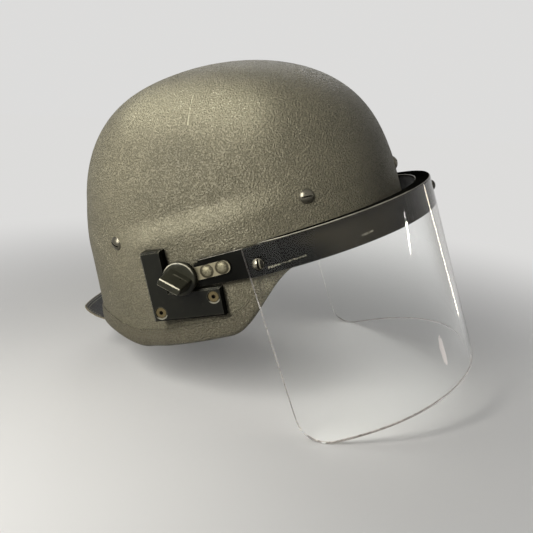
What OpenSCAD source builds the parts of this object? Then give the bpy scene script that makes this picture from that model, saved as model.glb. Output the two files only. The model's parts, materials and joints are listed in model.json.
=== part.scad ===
// Ballistic helmet with a face shield that raises on two side pivots.
// The helmet is drawn level, as worn: +X to the face, +Y to the wearer's left, +Z up,
// with the origin in the middle of the headband. The last step tips it back to rest.

/* [Pose] */
// How far the helmet is tipped back as it lies
rest_tilt = 20.7; // [0:0.1:30]

/* [Shell] */
// Length of the shell, front to back
shell_len = 284; // [270:1:300]
// Width of the shell above the ear bulges
shell_w = 237; // [225:1:250]
// Level of the widest section, above the origin
spring_z = 25; // [20:1:30]
// Height of the crown above the widest section
crown_h = 124; // [115:1:135]
// Wall thickness of the shell
shell_t = 8.5; // [7:0.5:10]
// Squareness of the shell seen from above
plan_n = 2.12; // [2:0.02:2.3]
// How far the crown leans to the rear
crown_lean = 10; // [0:1:20]
// Height of the brow edge above the forehead, at the temples
brow_z = -19.7; // [-25:0.1:-15]
// Height of the lower edge over the ears
ear_z = -58.9; // [-68:0.1:-52]
// How far the ear bulges stand out from the side
ear_out = 3.5; // [2:0.1:5]
// Level of the soft ledge over the ear bulges
ledge_z = 33; // [28:1:38]
// How far the nape flares out at the level of the ear edge
nape_out = 20.4; // [14:0.1:24]
// Height of the rear edge above the ear edge
nape_rise = 20; // [10:0.5:24]
// How far the brow flares out at its lower edge
brow_out = 2; // [0:0.5:5]

/* [Edge trim] */
// Height of the edge trim's lips
trim_h = 13.5; // [8:0.5:15]
// Thickness of the edge trim
trim_t = 1; // [0.8:0.1:2.2]

/* [Suspension] */
// Height of the screws over the temples
temple_screw_z = 24; // [20:1:28]
// Distance of the temple screws in front of the middle
temple_screw_x = 79; // [70:1:88]
// Height of the screws at the rear sides
rear_screw_z = 29; // [24:1:32]
// Distance of the rear side screws behind the middle
rear_screw_x = 80; // [70:1:88]
// Height of the front and rear middle screws
middle_screw_z = 22; // [18:1:26]
// Radius of the suspension screw heads
screw_head_r = 5.9; // [4.5:0.1:6.5]
// Radius of the suspension screw shanks
screw_r = 2.4; // [2:0.1:3]
// Distance from the wall to the suspension web
web_standoff = 11; // [9:0.5:14]
// Height of the suspension web
web_h = 28; // [24:1:32]
// Thickness of all the webbing
web_t = 1.5; // [1:0.1:2]
// Length of the head that the headband goes round
head_len = 196; // [188:1:204]
// Width of the head that the headband goes round
head_w = 156; // [148:1:162]
// Height of the headband
headband_h = 34; // [28:1:38]
// Thickness of the padded headband
headband_t = 4; // [3:0.5:5]
// Width of the crown straps
crown_strap_w = 20; // [16:1:24]
// Height of the top of the crown straps
crown_strap_z = 116; // [108:1:122]
// Width of the chin strap
chin_strap_w = 19; // [15:1:22]

/* [Nape pad] */
// Thickness of the nape pad
nape_pad_t = 8; // [5:0.5:10]
// How far the nape pad hangs below the edge
nape_pad_drop = 1.5; // [1:0.5:6]
// How far the nape pad curls out behind the shell
nape_pad_out = 15.5; // [6:0.5:18]
// Height of the curled lip of the nape pad above the edge
nape_pad_lip = 13; // [6:1:16]

/* [Visor] */
// Distance of the lens in front of the forehead
visor_reach = 26; // [22:0.5:32]
// Height of the lens
lens_h = 162; // [130:1:180]
// Thickness of the lens
lens_t = 3.8; // [3:0.1:5]
// Squareness of the lens seen from above
lens_n = 2.17; // [2:0.02:2.3]
// Distance of the lens's rear edge in front of the middle
lens_rear_x = 28; // [22:1:34]
// Radius of the lower rear corners of the lens
lens_corner_r = 24; // [10:1:40]
// Height of the brow band's top
band_top_z = 3.5; // [0:0.5:8]
// Height of the brow band
band_h = 23; // [18:0.5:25]
// Thickness of the brow band's wall
band_t = 2.5; // [2:0.1:3.5]
// Thickness of the flange on top of the brow band
flange_t = 2.2; // [1.5:0.1:3]
// Width of the flange at the front, inside the wall
flange_front = 6.5; // [3:0.5:8]
// Width of the flange at the sides, inside the wall
flange_side = 3.5; // [2:0.5:5]
// Gap between the ear bulges and the brow band
band_gap = 1.4; // [1:0.1:3]
// Radius of the lens screw heads
lens_screw_head_r = 4.6; // [3.5:0.1:5.5]
// Radius of the lens screw shanks
lens_screw_r = 2; // [1.5:0.1:2.5]
// Depth of the side lens screws below the band's top
lens_screw_drop = 13.6; // [9:0.1:15]
// Depth of the front lens screw below the band's top
front_screw_drop = 9; // [8:0.5:15]

/* [Pivot] */
// Distance of the pivot behind the middle
pivot_back = 24; // [20:1:28]
// Height of the pivot
pivot_z = -6; // [-9:0.5:-3]
// Radius of the pivot studs
stud_r = 2.5; // [2:0.1:3]
// Width of the metal arms
arm_w = 10; // [8:0.5:12]
// Thickness of the metal arms
arm_t = 2; // [1.5:0.1:3]
// Reach of the metal arms in front of the pivot
arm_reach = 40; // [36:1:44]
// Distance of the first rivet in front of the pivot
rivet_first = 21.7; // [20:0.1:24]
// Spacing of the two rivets
rivet_pitch = 12; // [10:0.5:13]
// Radius of the rivet heads
rivet_head_r = 4.6; // [2.8:0.1:4.8]

/* [Bracket] */
// Width of the bracket
bracket_w = 58; // [54:1:64]
// Height of the bracket
bracket_h = 54.5; // [50:0.5:58]
// Width of the bracket's upright leg
leg_w = 17; // [14:0.5:18]
// Height of the bracket's foot
foot_h = 22; // [19:0.5:23]
// How far the bracket's foot leans down at the front
bracket_turn = 7; // [4:1:9]
// Radius of the pivot boss
boss_r = 10.5; // [9:0.5:11]
// Radius of the bracket screw heads
cap_r = 4.1; // [3.5:0.1:4.6]
// Radius of the bracket screw shanks
cap_shank_r = 2.4; // [2:0.1:2.8]

/* [Knob] */
// Radius of the knob's skirt
knob_r = 13; // [11:0.5:14]
// Thickness of the knob's skirt
knob_skirt_h = 4; // [3:0.5:6]
// Height of the whole knob
knob_h = 23; // [18:1:28]
// Length of the knob's grip bar at its foot
grip_len = 19; // [16:0.5:21]
// Thickness of the grip bar at its foot
grip_foot_t = 11; // [9:0.5:13]
// Thickness of the grip bar at its crest
grip_crest_t = 5.6; // [4:0.2:8]
// Angle of the closed knob's grip bar below level
grip_angle = 43; // [0:1:90]

/* [Hidden] */

// General values
seat = 0.05;
slip = 0.1;
facet_slack = 0.35;
part_gap = 0.4;
far = 400;
bore_y = shell_w / 4;
bore_l = shell_w * 0.38;
$fn = 48;

// Functions that shape the shell

function fade(t) = let(u = min(1, max(0, t))) u * u * (3 - 2 * u);
function spow(c, e) = sign(c) * pow(abs(c), e);
function unit(v) = v / norm(v);

columns = 72;
dome_rows = 14;
skirt_rows = 6;
front_rho_n = 1.884;
rear_rho_n = 2.828;
front_rise_n = 2.736;
rear_rise_n = 1.597;
ledge_soft = 16;

function rearward(th) = (1 - cos(th)) / 2;
function plan_x(th) = shell_len / 2 * spow(cos(th), 2 / plan_n);
function plan_y(th) = shell_w / 2 * spow(sin(th), 2 / plan_n);
function plan_normal(th) = unit([
    spow(cos(th), 2 - 2 / plan_n) / shell_len,
    spow(sin(th), 2 - 2 / plan_n) / shell_w,
    0]);
// Column angle of the section point that lies x in front of the middle
function angle_at(x) = acos(spow(2 * x / shell_len, plan_n / 2));

// Where the lower edge climbs from the ears to the brow, as shares of the half length
climb_front = 0.43;
climb_rear = -0.013;
brow_dip = 9.5;
function rim_z(x) = let(s = 2 * x / shell_len)
    brow_z
    + (ear_z - brow_z) * fade((climb_front - s) / (climb_front - climb_rear))
    - brow_dip * fade((s - 0.67) / 0.32)
    + nape_rise * fade((-0.558 - s) / 0.35);

function ear_bulge(x, z) = let(s = 2 * x / shell_len)
    ear_out * fade((ledge_z + ledge_soft / 2 - z) / ledge_soft)
    * fade((s + 0.56) / 0.16) * fade((0.5 - s) / 0.25);
flare_start_z = spring_z + 43;
function nape_flare(x, z) = let(s = 2 * x / shell_len)
    nape_out * fade((-0.377 - s) / 0.68)
    * pow(max(0, (flare_start_z - z) / (flare_start_z - ear_z + 1.6)), 1.17);
function brow_flare(x, z) = let(s = 2 * x / shell_len)
    brow_out * fade((s - 0.55) / 0.3) * fade((brow_z + 14 - z) / 24);
function flare(x, z) = ear_bulge(x, z) + nape_flare(x, z) + brow_flare(x, z);

// Outer surface: v runs from 0 at the crown to 1 at the widest section and 2 at the edge
function skin(th, v) = let(
    r = rearward(th),
    ph = 90 * min(1, v),
    rho = pow(sin(ph), 2 / (front_rho_n + (rear_rho_n - front_rho_n) * r)),
    rise = pow(max(0, cos(ph)), 2 / (front_rise_n + (rear_rise_n - front_rise_n) * r)),
    x = plan_x(th),
    z = spring_z + crown_h * rise + (rim_z(x) - spring_z) * max(0, v - 1),
    n = plan_normal(th),
    f = flare(x * rho, z) * min(1, 3 * rho))
    [x * rho - crown_lean * rise + n.x * f, plan_y(th) * rho + n.y * f, z];
function skin_normal(th, v) = let(
    a = skin(th + 1, v) - skin(th - 1, v),
    b = skin(th, v + 0.01) - skin(th, v - 0.01))
    unit(cross(b, a));
// A point at a depth below the outer surface
function below(th, v, depth) = skin(th, v) - depth * skin_normal(th, v);
// Column step of the skirt at height z
function v_at(th, z) = 1 + (spring_z - z) / (spring_z - rim_z(plan_x(th)));
// Half width of the shell at a place on its side
function side_y(x, z) = let(th = angle_at(x)) plan_y(th) + flare(x, z) * plan_normal(th).y;

// Rows of one column: the last two are the top of the trim and the edge itself
function trim_v(th) = v_at(th, rim_z(plan_x(th)) + trim_h);
function row_v(th, j) = j <= dome_rows ? j / dome_rows
    : j < dome_rows + skirt_rows ? 1 + (trim_v(th) - 1) * (j - dome_rows) / (skirt_rows - 1)
    : 2;
rows = dome_rows + skirt_rows;
function column_angle(i) = 360 * i / columns;

// A closed skin from rings of equal size, the first and last of them capped
module loft(rings) {
    n = len(rings[0]);
    points = [for (r = rings) for (p = r) p];
    side = [for (j = [0:len(rings) - 2]) for (i = [0:n - 1]) let(
            a = j * n + i, b = j * n + (i + 1) % n)
        each [[a, b, b + n], [a, b + n, a + n]]];
    last = (len(rings) - 1) * n;
    polyhedron(points, concat(side, [[for (i = [n - 1:-1:0]) i]], [[for (i = [0:n - 1]) last + i]]));
}

// A closed loop swept from sections, each a ring of points
module loop_loft(rings) {
    n = len(rings[0]);
    m = len(rings);
    points = [for (r = rings) for (p = r) p];
    polyhedron(points, [for (j = [0:m - 1]) for (i = [0:n - 1]) let(
            a = j * n + i, b = j * n + (i + 1) % n,
            c = ((j + 1) % m) * n + (i + 1) % n, d = ((j + 1) % m) * n + i)
        each [[a, c, b], [a, d, c]]]);
}

// The whole outer form, filled, down to the edge; grow moves its surface out
module dome_solid(grow = 0) {
    apex = [[-crown_lean, 0, spring_z + crown_h + grow]];
    ring_points = [for (j = [1:rows]) for (i = [0:columns - 1])
        below(column_angle(i), row_v(column_angle(i), j), -grow)];
    points = concat(apex, ring_points, [[0, 0, ear_z]]);
    cap = [for (i = [0:columns - 1]) [0, 1 + (i + 1) % columns, 1 + i]];
    side = [for (j = [0:rows - 2]) for (i = [0:columns - 1]) let(
            a = 1 + j * columns + i, b = 1 + j * columns + (i + 1) % columns)
        each [[a, b, b + columns], [a, b + columns, a + columns]]];
    last = 1 + (rows - 1) * columns;
    base = [for (i = [0:columns - 1]) [last + i, last + (i + 1) % columns, len(points) - 1]];
    polyhedron(points, concat(cap, side, base));
}

// The moulded wall between the outer surface and the inner one
module shell_wall() {
    outer = [for (j = [1:rows]) for (i = [0:columns - 1])
        skin(column_angle(i), row_v(column_angle(i), j))];
    inner = [for (j = [1:rows]) for (i = [0:columns - 1])
        below(column_angle(i), row_v(column_angle(i), j), shell_t)];
    tops = [[-crown_lean, 0, spring_z + crown_h], [-crown_lean, 0, spring_z + crown_h - shell_t]];
    points = concat(tops, outer, inner);
    inner_start = 2 + rows * columns;
    caps = [for (i = [0:columns - 1]) let(k = (i + 1) % columns)
        each [[0, 2 + k, 2 + i], [1, inner_start + i, inner_start + k]]];
    sides = [for (j = [0:rows - 2]) for (i = [0:columns - 1]) let(
            a = 2 + j * columns + i, b = 2 + j * columns + (i + 1) % columns,
            c = inner_start + j * columns + i, d = inner_start + j * columns + (i + 1) % columns)
        each [[a, b, b + columns], [a, b + columns, a + columns],
            [c, d + columns, d], [c, c + columns, d + columns]]];
    last = (rows - 1) * columns;
    edge = [for (i = [0:columns - 1]) let(
            a = 2 + last + i, b = 2 + last + (i + 1) % columns,
            c = inner_start + last + i, d = inner_start + last + (i + 1) % columns)
        each [[a, b, d], [a, d, c]]];
    polyhedron(points, concat(caps, sides, edge));
}

// Places of the six suspension screws: column angle and height, going round
temple_angle = angle_at(temple_screw_x);
rear_angle = angle_at(-rear_screw_x);
screw_places = [
    [0, middle_screw_z], [temple_angle, temple_screw_z], [rear_angle, rear_screw_z],
    [180, middle_screw_z], [-rear_angle, rear_screw_z], [-temple_angle, temple_screw_z]];
spot_depth = 0.5;
spot_slack = 0.4;
screw_head_h = 3.1;
post_flange_r = 6.5;
post_flange_t = 1.5;
post_r = 4.4;
eyelet_r = 6;
eyelet_t = 1.2;
eyelet_neck_r = 3.4;
inner_spot = shell_t + 0.2;

// Surface distance from the axis line at a screw's height
function screw_origin(k) = let(
    th = screw_places[k][0], z = screw_places[k][1],
    p = skin(th, v_at(th, min(z, spring_z - 0.01))))
    [p.x, p.y, z];
function screw_dir(k) = plan_normal(screw_places[k][0]);
// Draws children with +Z pointing out along a screw, the origin on the spot face
module at_screw(k) {
    d = screw_dir(k);
    translate(screw_origin(k) - d * spot_depth)
        rotate([0, 90, atan2(d.y, d.x)])
            children();
}
module at_screws() {
    for (k = [0:len(screw_places) - 1])
        at_screw(k) children();
}

// The last step: the level helmet tipped back
module tipped() {
    rotate([0, -rest_tilt, 0]) children();
}
// Mirrors the left side onto the right one
module side(right) {
    if (right) mirror([0, 1, 0]) children();
    else children();
}

// Stack of planes at the side, from the ear bulge outward
pivot_x = -pivot_back;
band_in_y = shell_w / 2 + ear_out + band_gap;
band_out_y = band_in_y + band_t;
lens_out_y = band_out_y + lens_t;
arm_out_y = band_out_y + arm_t;
washer_t = 0.8;
boss_face_y = band_out_y - slip - washer_t;
bracket_face_y = arm_out_y - 0.3;
knob_foot_y = arm_out_y + part_gap;

// Children drawn flat in XY come out standing on the side plane y, facing out
module on_side(y) {
    translate([0, y, 0]) rotate([90, 0, 0]) mirror([0, 0, 1]) children();
}

module shell() {
    color([0.25, 0.25, 0.24])
    tipped()
    difference() {
        shell_wall();
        at_screws() {
            translate([0, 0, 0]) cylinder(r = screw_head_r + spot_slack, h = 10);
            translate([0, 0, -shell_t * 2]) cylinder(r = screw_r + seat, h = shell_t * 3);
            translate([0, 0, spot_depth - inner_spot - 30])
                cylinder(r = post_flange_r + spot_slack, h = 30);
        }
        for (right = [false, true])
            side(right) bracket_screw_places() {
                on_side(bore_y) cylinder(r = cap_shank_r + seat, h = bore_l);
                on_side(bore_y) cylinder(r = nut_washer_r + spot_slack, h = $nut_y - bore_y);
            }
    }
}

// Profile of the edge trim round one column: an open channel over the edge
function trim_ring(th) = let(
    lip = trim_v(th),
    o1 = skin(th, lip), n1 = skin_normal(th, lip),
    o2 = skin(th, 2), n2 = skin_normal(th, 2),
    down = unit(o2 - o1),
    i1 = o1 - n1 * shell_t, i2 = o2 - n2 * shell_t,
    c = facet_slack * 1.5)
    [o1 + n1 * c, o1 + n1 * (c + trim_t * 0.55), o1 + n1 * (c + trim_t) + down * trim_t * 0.8,
     o2 + n2 * (c + trim_t), o2 + n2 * (c + trim_t * 0.6) + down * trim_t * 0.8,
     o2 - n2 * trim_t * 0.3 + down * (c + trim_t), i2 + n2 * trim_t * 0.3 + down * (c + trim_t),
     i2 - n2 * (c + trim_t * 0.6) + down * trim_t * 0.8, i2 - n2 * (c + trim_t),
     i1 - n1 * (c + trim_t) + down * trim_t * 0.8, i1 - n1 * c,
     i2 - n2 * c + down * c, o2 + n2 * c + down * c];

module edge_trim() {
    color([0.22, 0.22, 0.21])
    tipped()
        loop_loft([for (i = [0:columns - 1]) trim_ring(column_angle(i))]);
}

// A slotted round head on its shank, the head standing on z = 0
module slotted_screw(head_r, head_h, shank_r, shank_l) {
    dome_r = (head_r * head_r + head_h * head_h) / (2 * head_h);
    difference() {
        union() {
            rotate_extrude()
                intersection() {
                    translate([0, head_h - dome_r]) circle(r = dome_r);
                    square([head_r, head_h]);
                }
            translate([0, 0, -shank_l]) cylinder(r = shank_r, h = shank_l + head_h / 3);
        }
        translate([-head_r, -head_r / 9, head_h * 0.5]) cube([head_r * 2, head_r / 4.5, head_h]);
    }
}

slot_turns = [60, 35, 75, 20, 50, 83];
screw_shank_l = shell_t * 1.82;
module suspension_screws() {
    color([0.2, 0.2, 0.2])
    tipped()
    for (k = [0:len(screw_places) - 1])
        at_screw(k) rotate([0, 0, slot_turns[k]])
            slotted_screw(screw_head_r, screw_head_h, screw_r, screw_shank_l);
}

// Depths along a screw, from the spot face inward
post_top = inner_spot - spot_depth;
web_outer = post_top + web_standoff;
web_inner = web_outer + web_t;
module suspension_posts() {
    color([0.55, 0.5, 0.35])
    tipped()
    at_screws()
        rotate_extrude()
            polygon([
                [screw_r + seat, -post_top], [post_flange_r, -post_top],
                [post_flange_r, -post_top - post_flange_t], [post_r, -post_top - post_flange_t - 0.6],
                [post_r, -web_outer], [eyelet_neck_r, -web_outer],
                [eyelet_neck_r, -web_inner - eyelet_t * 0.7], [screw_r + seat, -web_inner - eyelet_t * 0.7]]);
}

module web_eyelets() {
    color([0.6, 0.6, 0.58])
    tipped()
    at_screws()
        rotate_extrude()
            polygon([
                [eyelet_neck_r + seat, -web_inner], [eyelet_r, -web_inner],
                [eyelet_r - 0.3, -web_inner - eyelet_t * 0.6],
                [eyelet_neck_r + 1, -web_inner - eyelet_t], [eyelet_neck_r + seat, -web_inner - eyelet_t]]);
}

// The web runs straight from post to post, square to each of them
web_flat = 9;
web_mid = web_outer + web_t / 2 + spot_depth;
function web_corner(k, s) = let(d = screw_dir(k), o = screw_origin(k))
    [o.x - d.x * web_mid - d.y * web_flat * s, o.y - d.y * web_mid + d.x * web_flat * s];
web_line = [for (k = [0:5]) each [web_corner(k, -1), web_corner(k, 1)]];
function perp(v) = [v.y, -v.x];
function offset_line(line, d) = [for (i = [0:len(line) - 1]) let(
        n = len(line), a = line[(i + n - 1) % n], b = line[i], c = line[(i + 1) % n],
        m = unit(perp(unit(b - a)) + perp(unit(c - b))))
    b + m * d / (m * perp(unit(b - a)))];
web_low_z = middle_screw_z + 3 - web_h / 2;

module suspension_web() {
    color([0.35, 0.36, 0.3])
    tipped()
    difference() {
        translate([0, 0, web_low_z]) linear_extrude(web_h)
            difference() {
                polygon(offset_line(web_line, web_t / 2));
                polygon(offset_line(web_line, -web_t / 2));
            }
        at_screws()
            translate([0, 0, -web_inner - web_t * 3]) cylinder(r = eyelet_neck_r + seat, h = web_t * 6);
    }
}

// Middles of the straight runs of the web: point, direction along the run
function run_start(k) = web_corner(k, 1);
function run_end(k) = web_corner((k + 1) % 6, -1);
function run_mid(k) = (run_start(k) + run_end(k)) / 2;
function run_dir(k) = unit(run_end(k) - run_start(k));

// One strap over the crown from run a to run b, at its own height
strap_steps = 20;
strap_n = 2.3;
module crown_strap(a, b, top) {
    foot = web_low_z + web_h * 0.4;
    start_z = web_low_z + web_h;
    out = web_t / 2 + slip;
    pa = run_mid(a) + perp(run_dir(a)) * out;
    pb = run_mid(b) + perp(run_dir(b)) * out;
    wa = run_dir(a);
    wb = -run_dir(b);
    arch = [for (i = [0:strap_steps]) let(
            q = 180 * i / strap_steps,
            s = (1 - spow(cos(q), 2 / strap_n)) / 2,
            p = pa + (pb - pa) * s)
        [p.x, p.y, start_z + (top - start_z) * pow(sin(q), 2 / strap_n)]];
    path = concat([[pa.x, pa.y, foot]], arch, [[pb.x, pb.y, foot]]);
    n = len(path);
    loft([for (i = [0:n - 1]) let(
            t = unit(path[min(n - 1, i + 1)] - path[max(0, i - 1)]),
            s = i / (n - 1),
            w2 = unit(wa * (1 - s) + wb * s),
            w = [w2.x, w2.y, 0],
            up = unit(cross(w, t)) * (cross(w, t) * [path[i].x, path[i].y, path[i].z] > 0 ? 1 : -1))
        [path[i] - w * crown_strap_w / 2, path[i] + w * crown_strap_w / 2,
         path[i] + w * crown_strap_w / 2 + up * web_t, path[i] - w * crown_strap_w / 2 + up * web_t]]);
}

module crown_straps() {
    color([0.35, 0.36, 0.3])
    tipped() {
        crown_strap(0, 3, crown_strap_z);
        crown_strap(1, 4, crown_strap_z + web_t);
        crown_strap(2, 5, crown_strap_z + web_t * 2);
    }
}

// Outline of the head, grown by d
head_n = 2.25;
function head_outline(d) = [for (i = [0:columns - 1]) let(th = column_angle(i))
    [(head_len / 2 + d) * spow(cos(th), 2 / head_n), (head_w / 2 + d) * spow(sin(th), 2 / head_n)]];

module headband() {
    color([0.12, 0.11, 0.1])
    tipped()
    translate([0, 0, -headband_h / 2]) linear_extrude(headband_h)
        difference() {
            polygon(head_outline(headband_t));
            polygon(head_outline(0));
        }
}

// Hooks that carry the headband on the lower edge of the web
clip_w = 12;
clip_t = 1.2;
clip_lip = 6;
module headband_clips() {
    color([0.15, 0.15, 0.15])
    tipped()
    difference() {
        for (k = [0:5]) {
            m = run_mid(k);
            d = run_dir(k);
            translate([m.x, m.y, 0])
                rotate([0, 0, atan2(d.y, d.x) - 90]) {
                    // Local +X points out of the helmet, Z stays up
                    translate([-clip_reach(k), -clip_w / 2, web_low_z - clip_t - 5])
                        cube([clip_t * 3, clip_w, clip_t + 5 + 5]);
                    translate([-clip_reach(k), -clip_w / 2, web_low_z - clip_t - slip])
                        cube([clip_reach(k) + web_t / 2 + slip + clip_t, clip_w, clip_t]);
                    translate([web_t / 2 + slip, -clip_w / 2, web_low_z - clip_t - slip])
                        cube([clip_t, clip_w, clip_lip]);
                }
        }
        translate([0, 0, -headband_h]) linear_extrude(headband_h * 2)
            polygon(head_outline(headband_t + seat));
    }
}
// Distance from the web run to just inside the headband's outer face
function clip_reach(k) = let(
    m = run_mid(k), th = atan2(m.y * head_len, m.x * head_w),
    p = [(head_len / 2 + headband_t) * spow(cos(th), 2 / head_n),
         (head_w / 2 + headband_t) * spow(sin(th), 2 / head_n)])
    norm(m - p) + clip_t * 1.2;

// A strap that lies along the inner wall: waypoints are [column angle, height]
strap_lift = 6.4;
over_strap = strap_lift + web_t + facet_slack;
function wall_point(w, lift) = below(w[0], v_at(w[0], w[1]), shell_t + lift);
module wall_strap(way, width, thick, lift) {
    n = len(way);
    line = [for (w = way) wall_point(w, lift)];
    loft([for (i = [0:n - 1]) let(
            t = unit(line[min(n - 1, i + 1)] - line[max(0, i - 1)]),
            nv = skin_normal(way[i][0], v_at(way[i][0], way[i][1])),
            w = unit(cross(nv, t)))
        [line[i] - w * width / 2, line[i] + w * width / 2,
         line[i] + w * width / 2 - nv * thick, line[i] - w * width / 2 - nv * thick]]);
}
// Waypoints eased from one place to another
function ease_way(a, b, steps) = [for (i = [0:steps]) a + (b - a) * i / steps];

// The yoke: two legs from the screws meet at the slide behind the ear
junction = [96, -30];
tail_end = [128, -38];
module chin_yoke() {
    front = [temple_angle, temple_screw_z];
    rear = [rear_angle, rear_screw_z];
    difference() {
        union() {
            wall_strap(ease_way(front + [-3, 9], junction, 8), chin_strap_w, web_t, strap_lift);
            wall_strap(ease_way(rear + [1, 8], junction, 6), chin_strap_w, web_t, strap_lift);
            wall_strap(ease_way(junction + [-3, 2], tail_end, 6), chin_strap_w, web_t, strap_lift);
        }
        for (k = [1, 2])
            at_screw(k) translate([0, 0, -50]) cylinder(r = post_r + 0.3, h = 50 - post_top - 0.5);
    }
}

module right_chin_strap() {
    color([0.1, 0.1, 0.1])
    tipped() side(true) chin_yoke();
}

module left_chin_strap() {
    color([0.1, 0.1, 0.1])
    tipped() side(false) chin_yoke();
}

// Flat loops over the straps where the yoke's legs meet
module strap_slides() {
    color([0.08, 0.08, 0.08])
    tipped()
    for (right = [false, true])
        side(right)
            wall_strap(ease_way(junction + [3, -0.8], junction + [7, -1.9], 2), chin_strap_w + 6, 2,
                over_strap);
}

module buckle_body(len_angle, wide, thick) {
    wall_strap(ease_way(tail_end + [-len_angle, 1], tail_end + [-1, 0], 3), wide, thick,
        over_strap);
}

module buckle_socket() {
    color([0.08, 0.08, 0.08])
    tipped() side(true) buckle_body(13, chin_strap_w + 8, 5);
}

module buckle_prong() {
    color([0.08, 0.08, 0.08])
    tipped() side(false) buckle_body(11, chin_strap_w + 4, 4);
}

module chin_pad() {
    color([0.1, 0.1, 0.1])
    tipped() side(false)
        wall_strap(ease_way(junction + [8.5, -2.3], tail_end + [-13, 1], 3), chin_strap_w + 6, 3,
            over_strap);
}

// The nape pad: a padded leg inside the edge and a thin lip that curls up outside it.
// Section points are distances out from the wall and up along it.
pad_half_angle = 20.5;
pad_steps = 16;
pad_leg_h = 28;
pad_sheet_t = 1.6;
function pad_section(th, s) = let(
    e = skin(th, 2), n = skin_normal(th, 2),
    a = unit(skin(th, trim_v(th)) - e),
    t = nape_pad_t * (0.5 + 0.5 * s), out = nape_pad_out * s, lip = nape_pad_lip * s,
    in_r = -shell_t - trim_t - facet_slack * 2,
    low = -trim_t - facet_slack * 2,
    base = low - nape_pad_drop * (0.6 + 0.4 * s),
    at = function(r, h) e + n * r + a * h)
    [at(in_r, pad_leg_h), at(in_r, low), at(2, low), at(2 + out * 0.45, low + (lip - low) * 0.33),
     at(2 + out * 0.8, low + (lip - low) * 0.71), at(2 + out, lip),
     at(2 + out + pad_sheet_t * 0.6, lip + 0.5), at(2 + out + pad_sheet_t, lip - 0.4),
     at(2 + out * 0.8 + pad_sheet_t * 0.75, low + (lip - low) * 0.71 - pad_sheet_t * 0.7),
     at(2 + out * 0.45 + pad_sheet_t * 0.6, low + (lip - low) * 0.33 - pad_sheet_t * 0.85),
     at(1.5, base), at(in_r + 1, base), at(in_r - t * 0.7, low - 1),
     at(in_r - t, pad_leg_h * 0.3), at(in_r - t, pad_leg_h * 0.75), at(in_r - t * 0.5, pad_leg_h + 0.8)];

module nape_pad() {
    color([0.07, 0.07, 0.07])
    tipped()
        loft([for (i = [-pad_steps:pad_steps]) let(q = i / pad_steps)
            pad_section(180 - pad_half_angle * q, 0.05 + 0.95 * pow(max(0, 1 - pow(abs(q), 12)), 0.6))]);
}

// Hook-and-loop strip behind the pad's leg
module nape_pad_fastener() {
    color([0.05, 0.05, 0.05])
    tipped()
        wall_strap([for (i = [-6:6]) let(th = 180 + i * 2.7) [th, rim_z(plan_x(th)) + trim_h + 7.5]],
            10, 1, facet_slack);
}

// The bracket is drawn about the pivot: u forward along the foot, w up
bracket_left = -bracket_w / 2;
bracket_low = -bracket_h * 0.595;
edge_ease = 1.2;
cap_inset = 6.8;
cap_places = [
    [bracket_left + cap_inset, bracket_low + cap_inset],
    [bracket_w / 2 - cap_inset, bracket_low + foot_h - cap_inset]];
module at_pivot() {
    translate([pivot_x, 0, pivot_z]) children();
}
module at_bracket() {
    at_pivot() rotate([0, bracket_turn, 0]) children();
}
// A block with eased outer edges, from the corner u, w
module eased_block(u, w, width, height) {
    inner_y = shell_w / 2 - 25;
    hull() {
        translate([u, inner_y, w]) cube([width, bracket_face_y - edge_ease - inner_y, height]);
        translate([u + edge_ease, inner_y, w + edge_ease])
            cube([width - edge_ease * 2, bracket_face_y - inner_y, height - edge_ease * 2]);
    }
}

nut_washer_r = 6;
nut_washer_t = 1;
nut_h = 3.6;
nut_corner_r = 4.4;
cap_h = 2.8;
cap_floor_y = bracket_face_y - 3.2;
// Level place of a bracket screw
function cap_x(p) = pivot_x + p[0] * cos(bracket_turn) + p[1] * sin(bracket_turn);
function cap_z(p) = pivot_z - p[0] * sin(bracket_turn) + p[1] * cos(bracket_turn);
// Children see $nut_y, the plane of the spot face inside the shell
module bracket_screw_places() {
    for (p = cap_places)
        translate([cap_x(p), 0, cap_z(p)]) {
            $nut_y = side_y(cap_x(p), cap_z(p)) - shell_t + 1;
            children();
        }
}

stud_head_r = 6;
stud_head_t = 1.6;
boss_back_y = side_y(pivot_x, pivot_z);
stud_back_y = boss_back_y + 0.8;
module bracket() {
    difference() {
        union() {
            at_bracket() {
                eased_block(bracket_left, bracket_low, leg_w, bracket_h);
                eased_block(bracket_left, bracket_low, bracket_w, foot_h);
            }
            at_pivot() on_side(shell_w / 2 - 25) cylinder(r = boss_r, h = boss_face_y - shell_w / 2 + 25);
        }
        dome_solid(seat);
        bracket_screw_places() {
            on_side(bore_y) cylinder(r = cap_shank_r + seat, h = bore_l);
            on_side(cap_floor_y) cylinder(r = cap_r + 0.5, h = 20);
        }
        at_pivot() {
            on_side(bore_y) cylinder(r = stud_r + seat, h = bore_l);
            on_side(bore_y) cylinder(r = stud_head_r + seat, h = stud_back_y + stud_head_t + slip - bore_y);
        }
    }
}

module right_bracket() {
    color([0.07, 0.07, 0.07])
    tipped() side(true) bracket();
}

module left_bracket() {
    color([0.07, 0.07, 0.07])
    tipped() side(false) bracket();
}

// Hex-socket cap on its shank
module cap_screw(tip_y) {
    difference() {
        union() {
            on_side(cap_floor_y) cylinder(r = cap_r, h = cap_h);
            on_side(tip_y) cylinder(r = cap_shank_r, h = cap_floor_y + 0.5 - tip_y);
        }
        on_side(cap_floor_y + cap_h - 1.8) cylinder(r = 1.75, h = 5, $fn = 6);
    }
}

module right_bracket_screws() {
    color([0.72, 0.6, 0.38])
    tipped() side(true) bracket_screw_places() cap_screw($nut_y - nut_washer_t - nut_h - 1);
}

module left_bracket_screws() {
    color([0.72, 0.6, 0.38])
    tipped() side(false) bracket_screw_places() cap_screw($nut_y - nut_washer_t - nut_h - 1);
}

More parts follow.
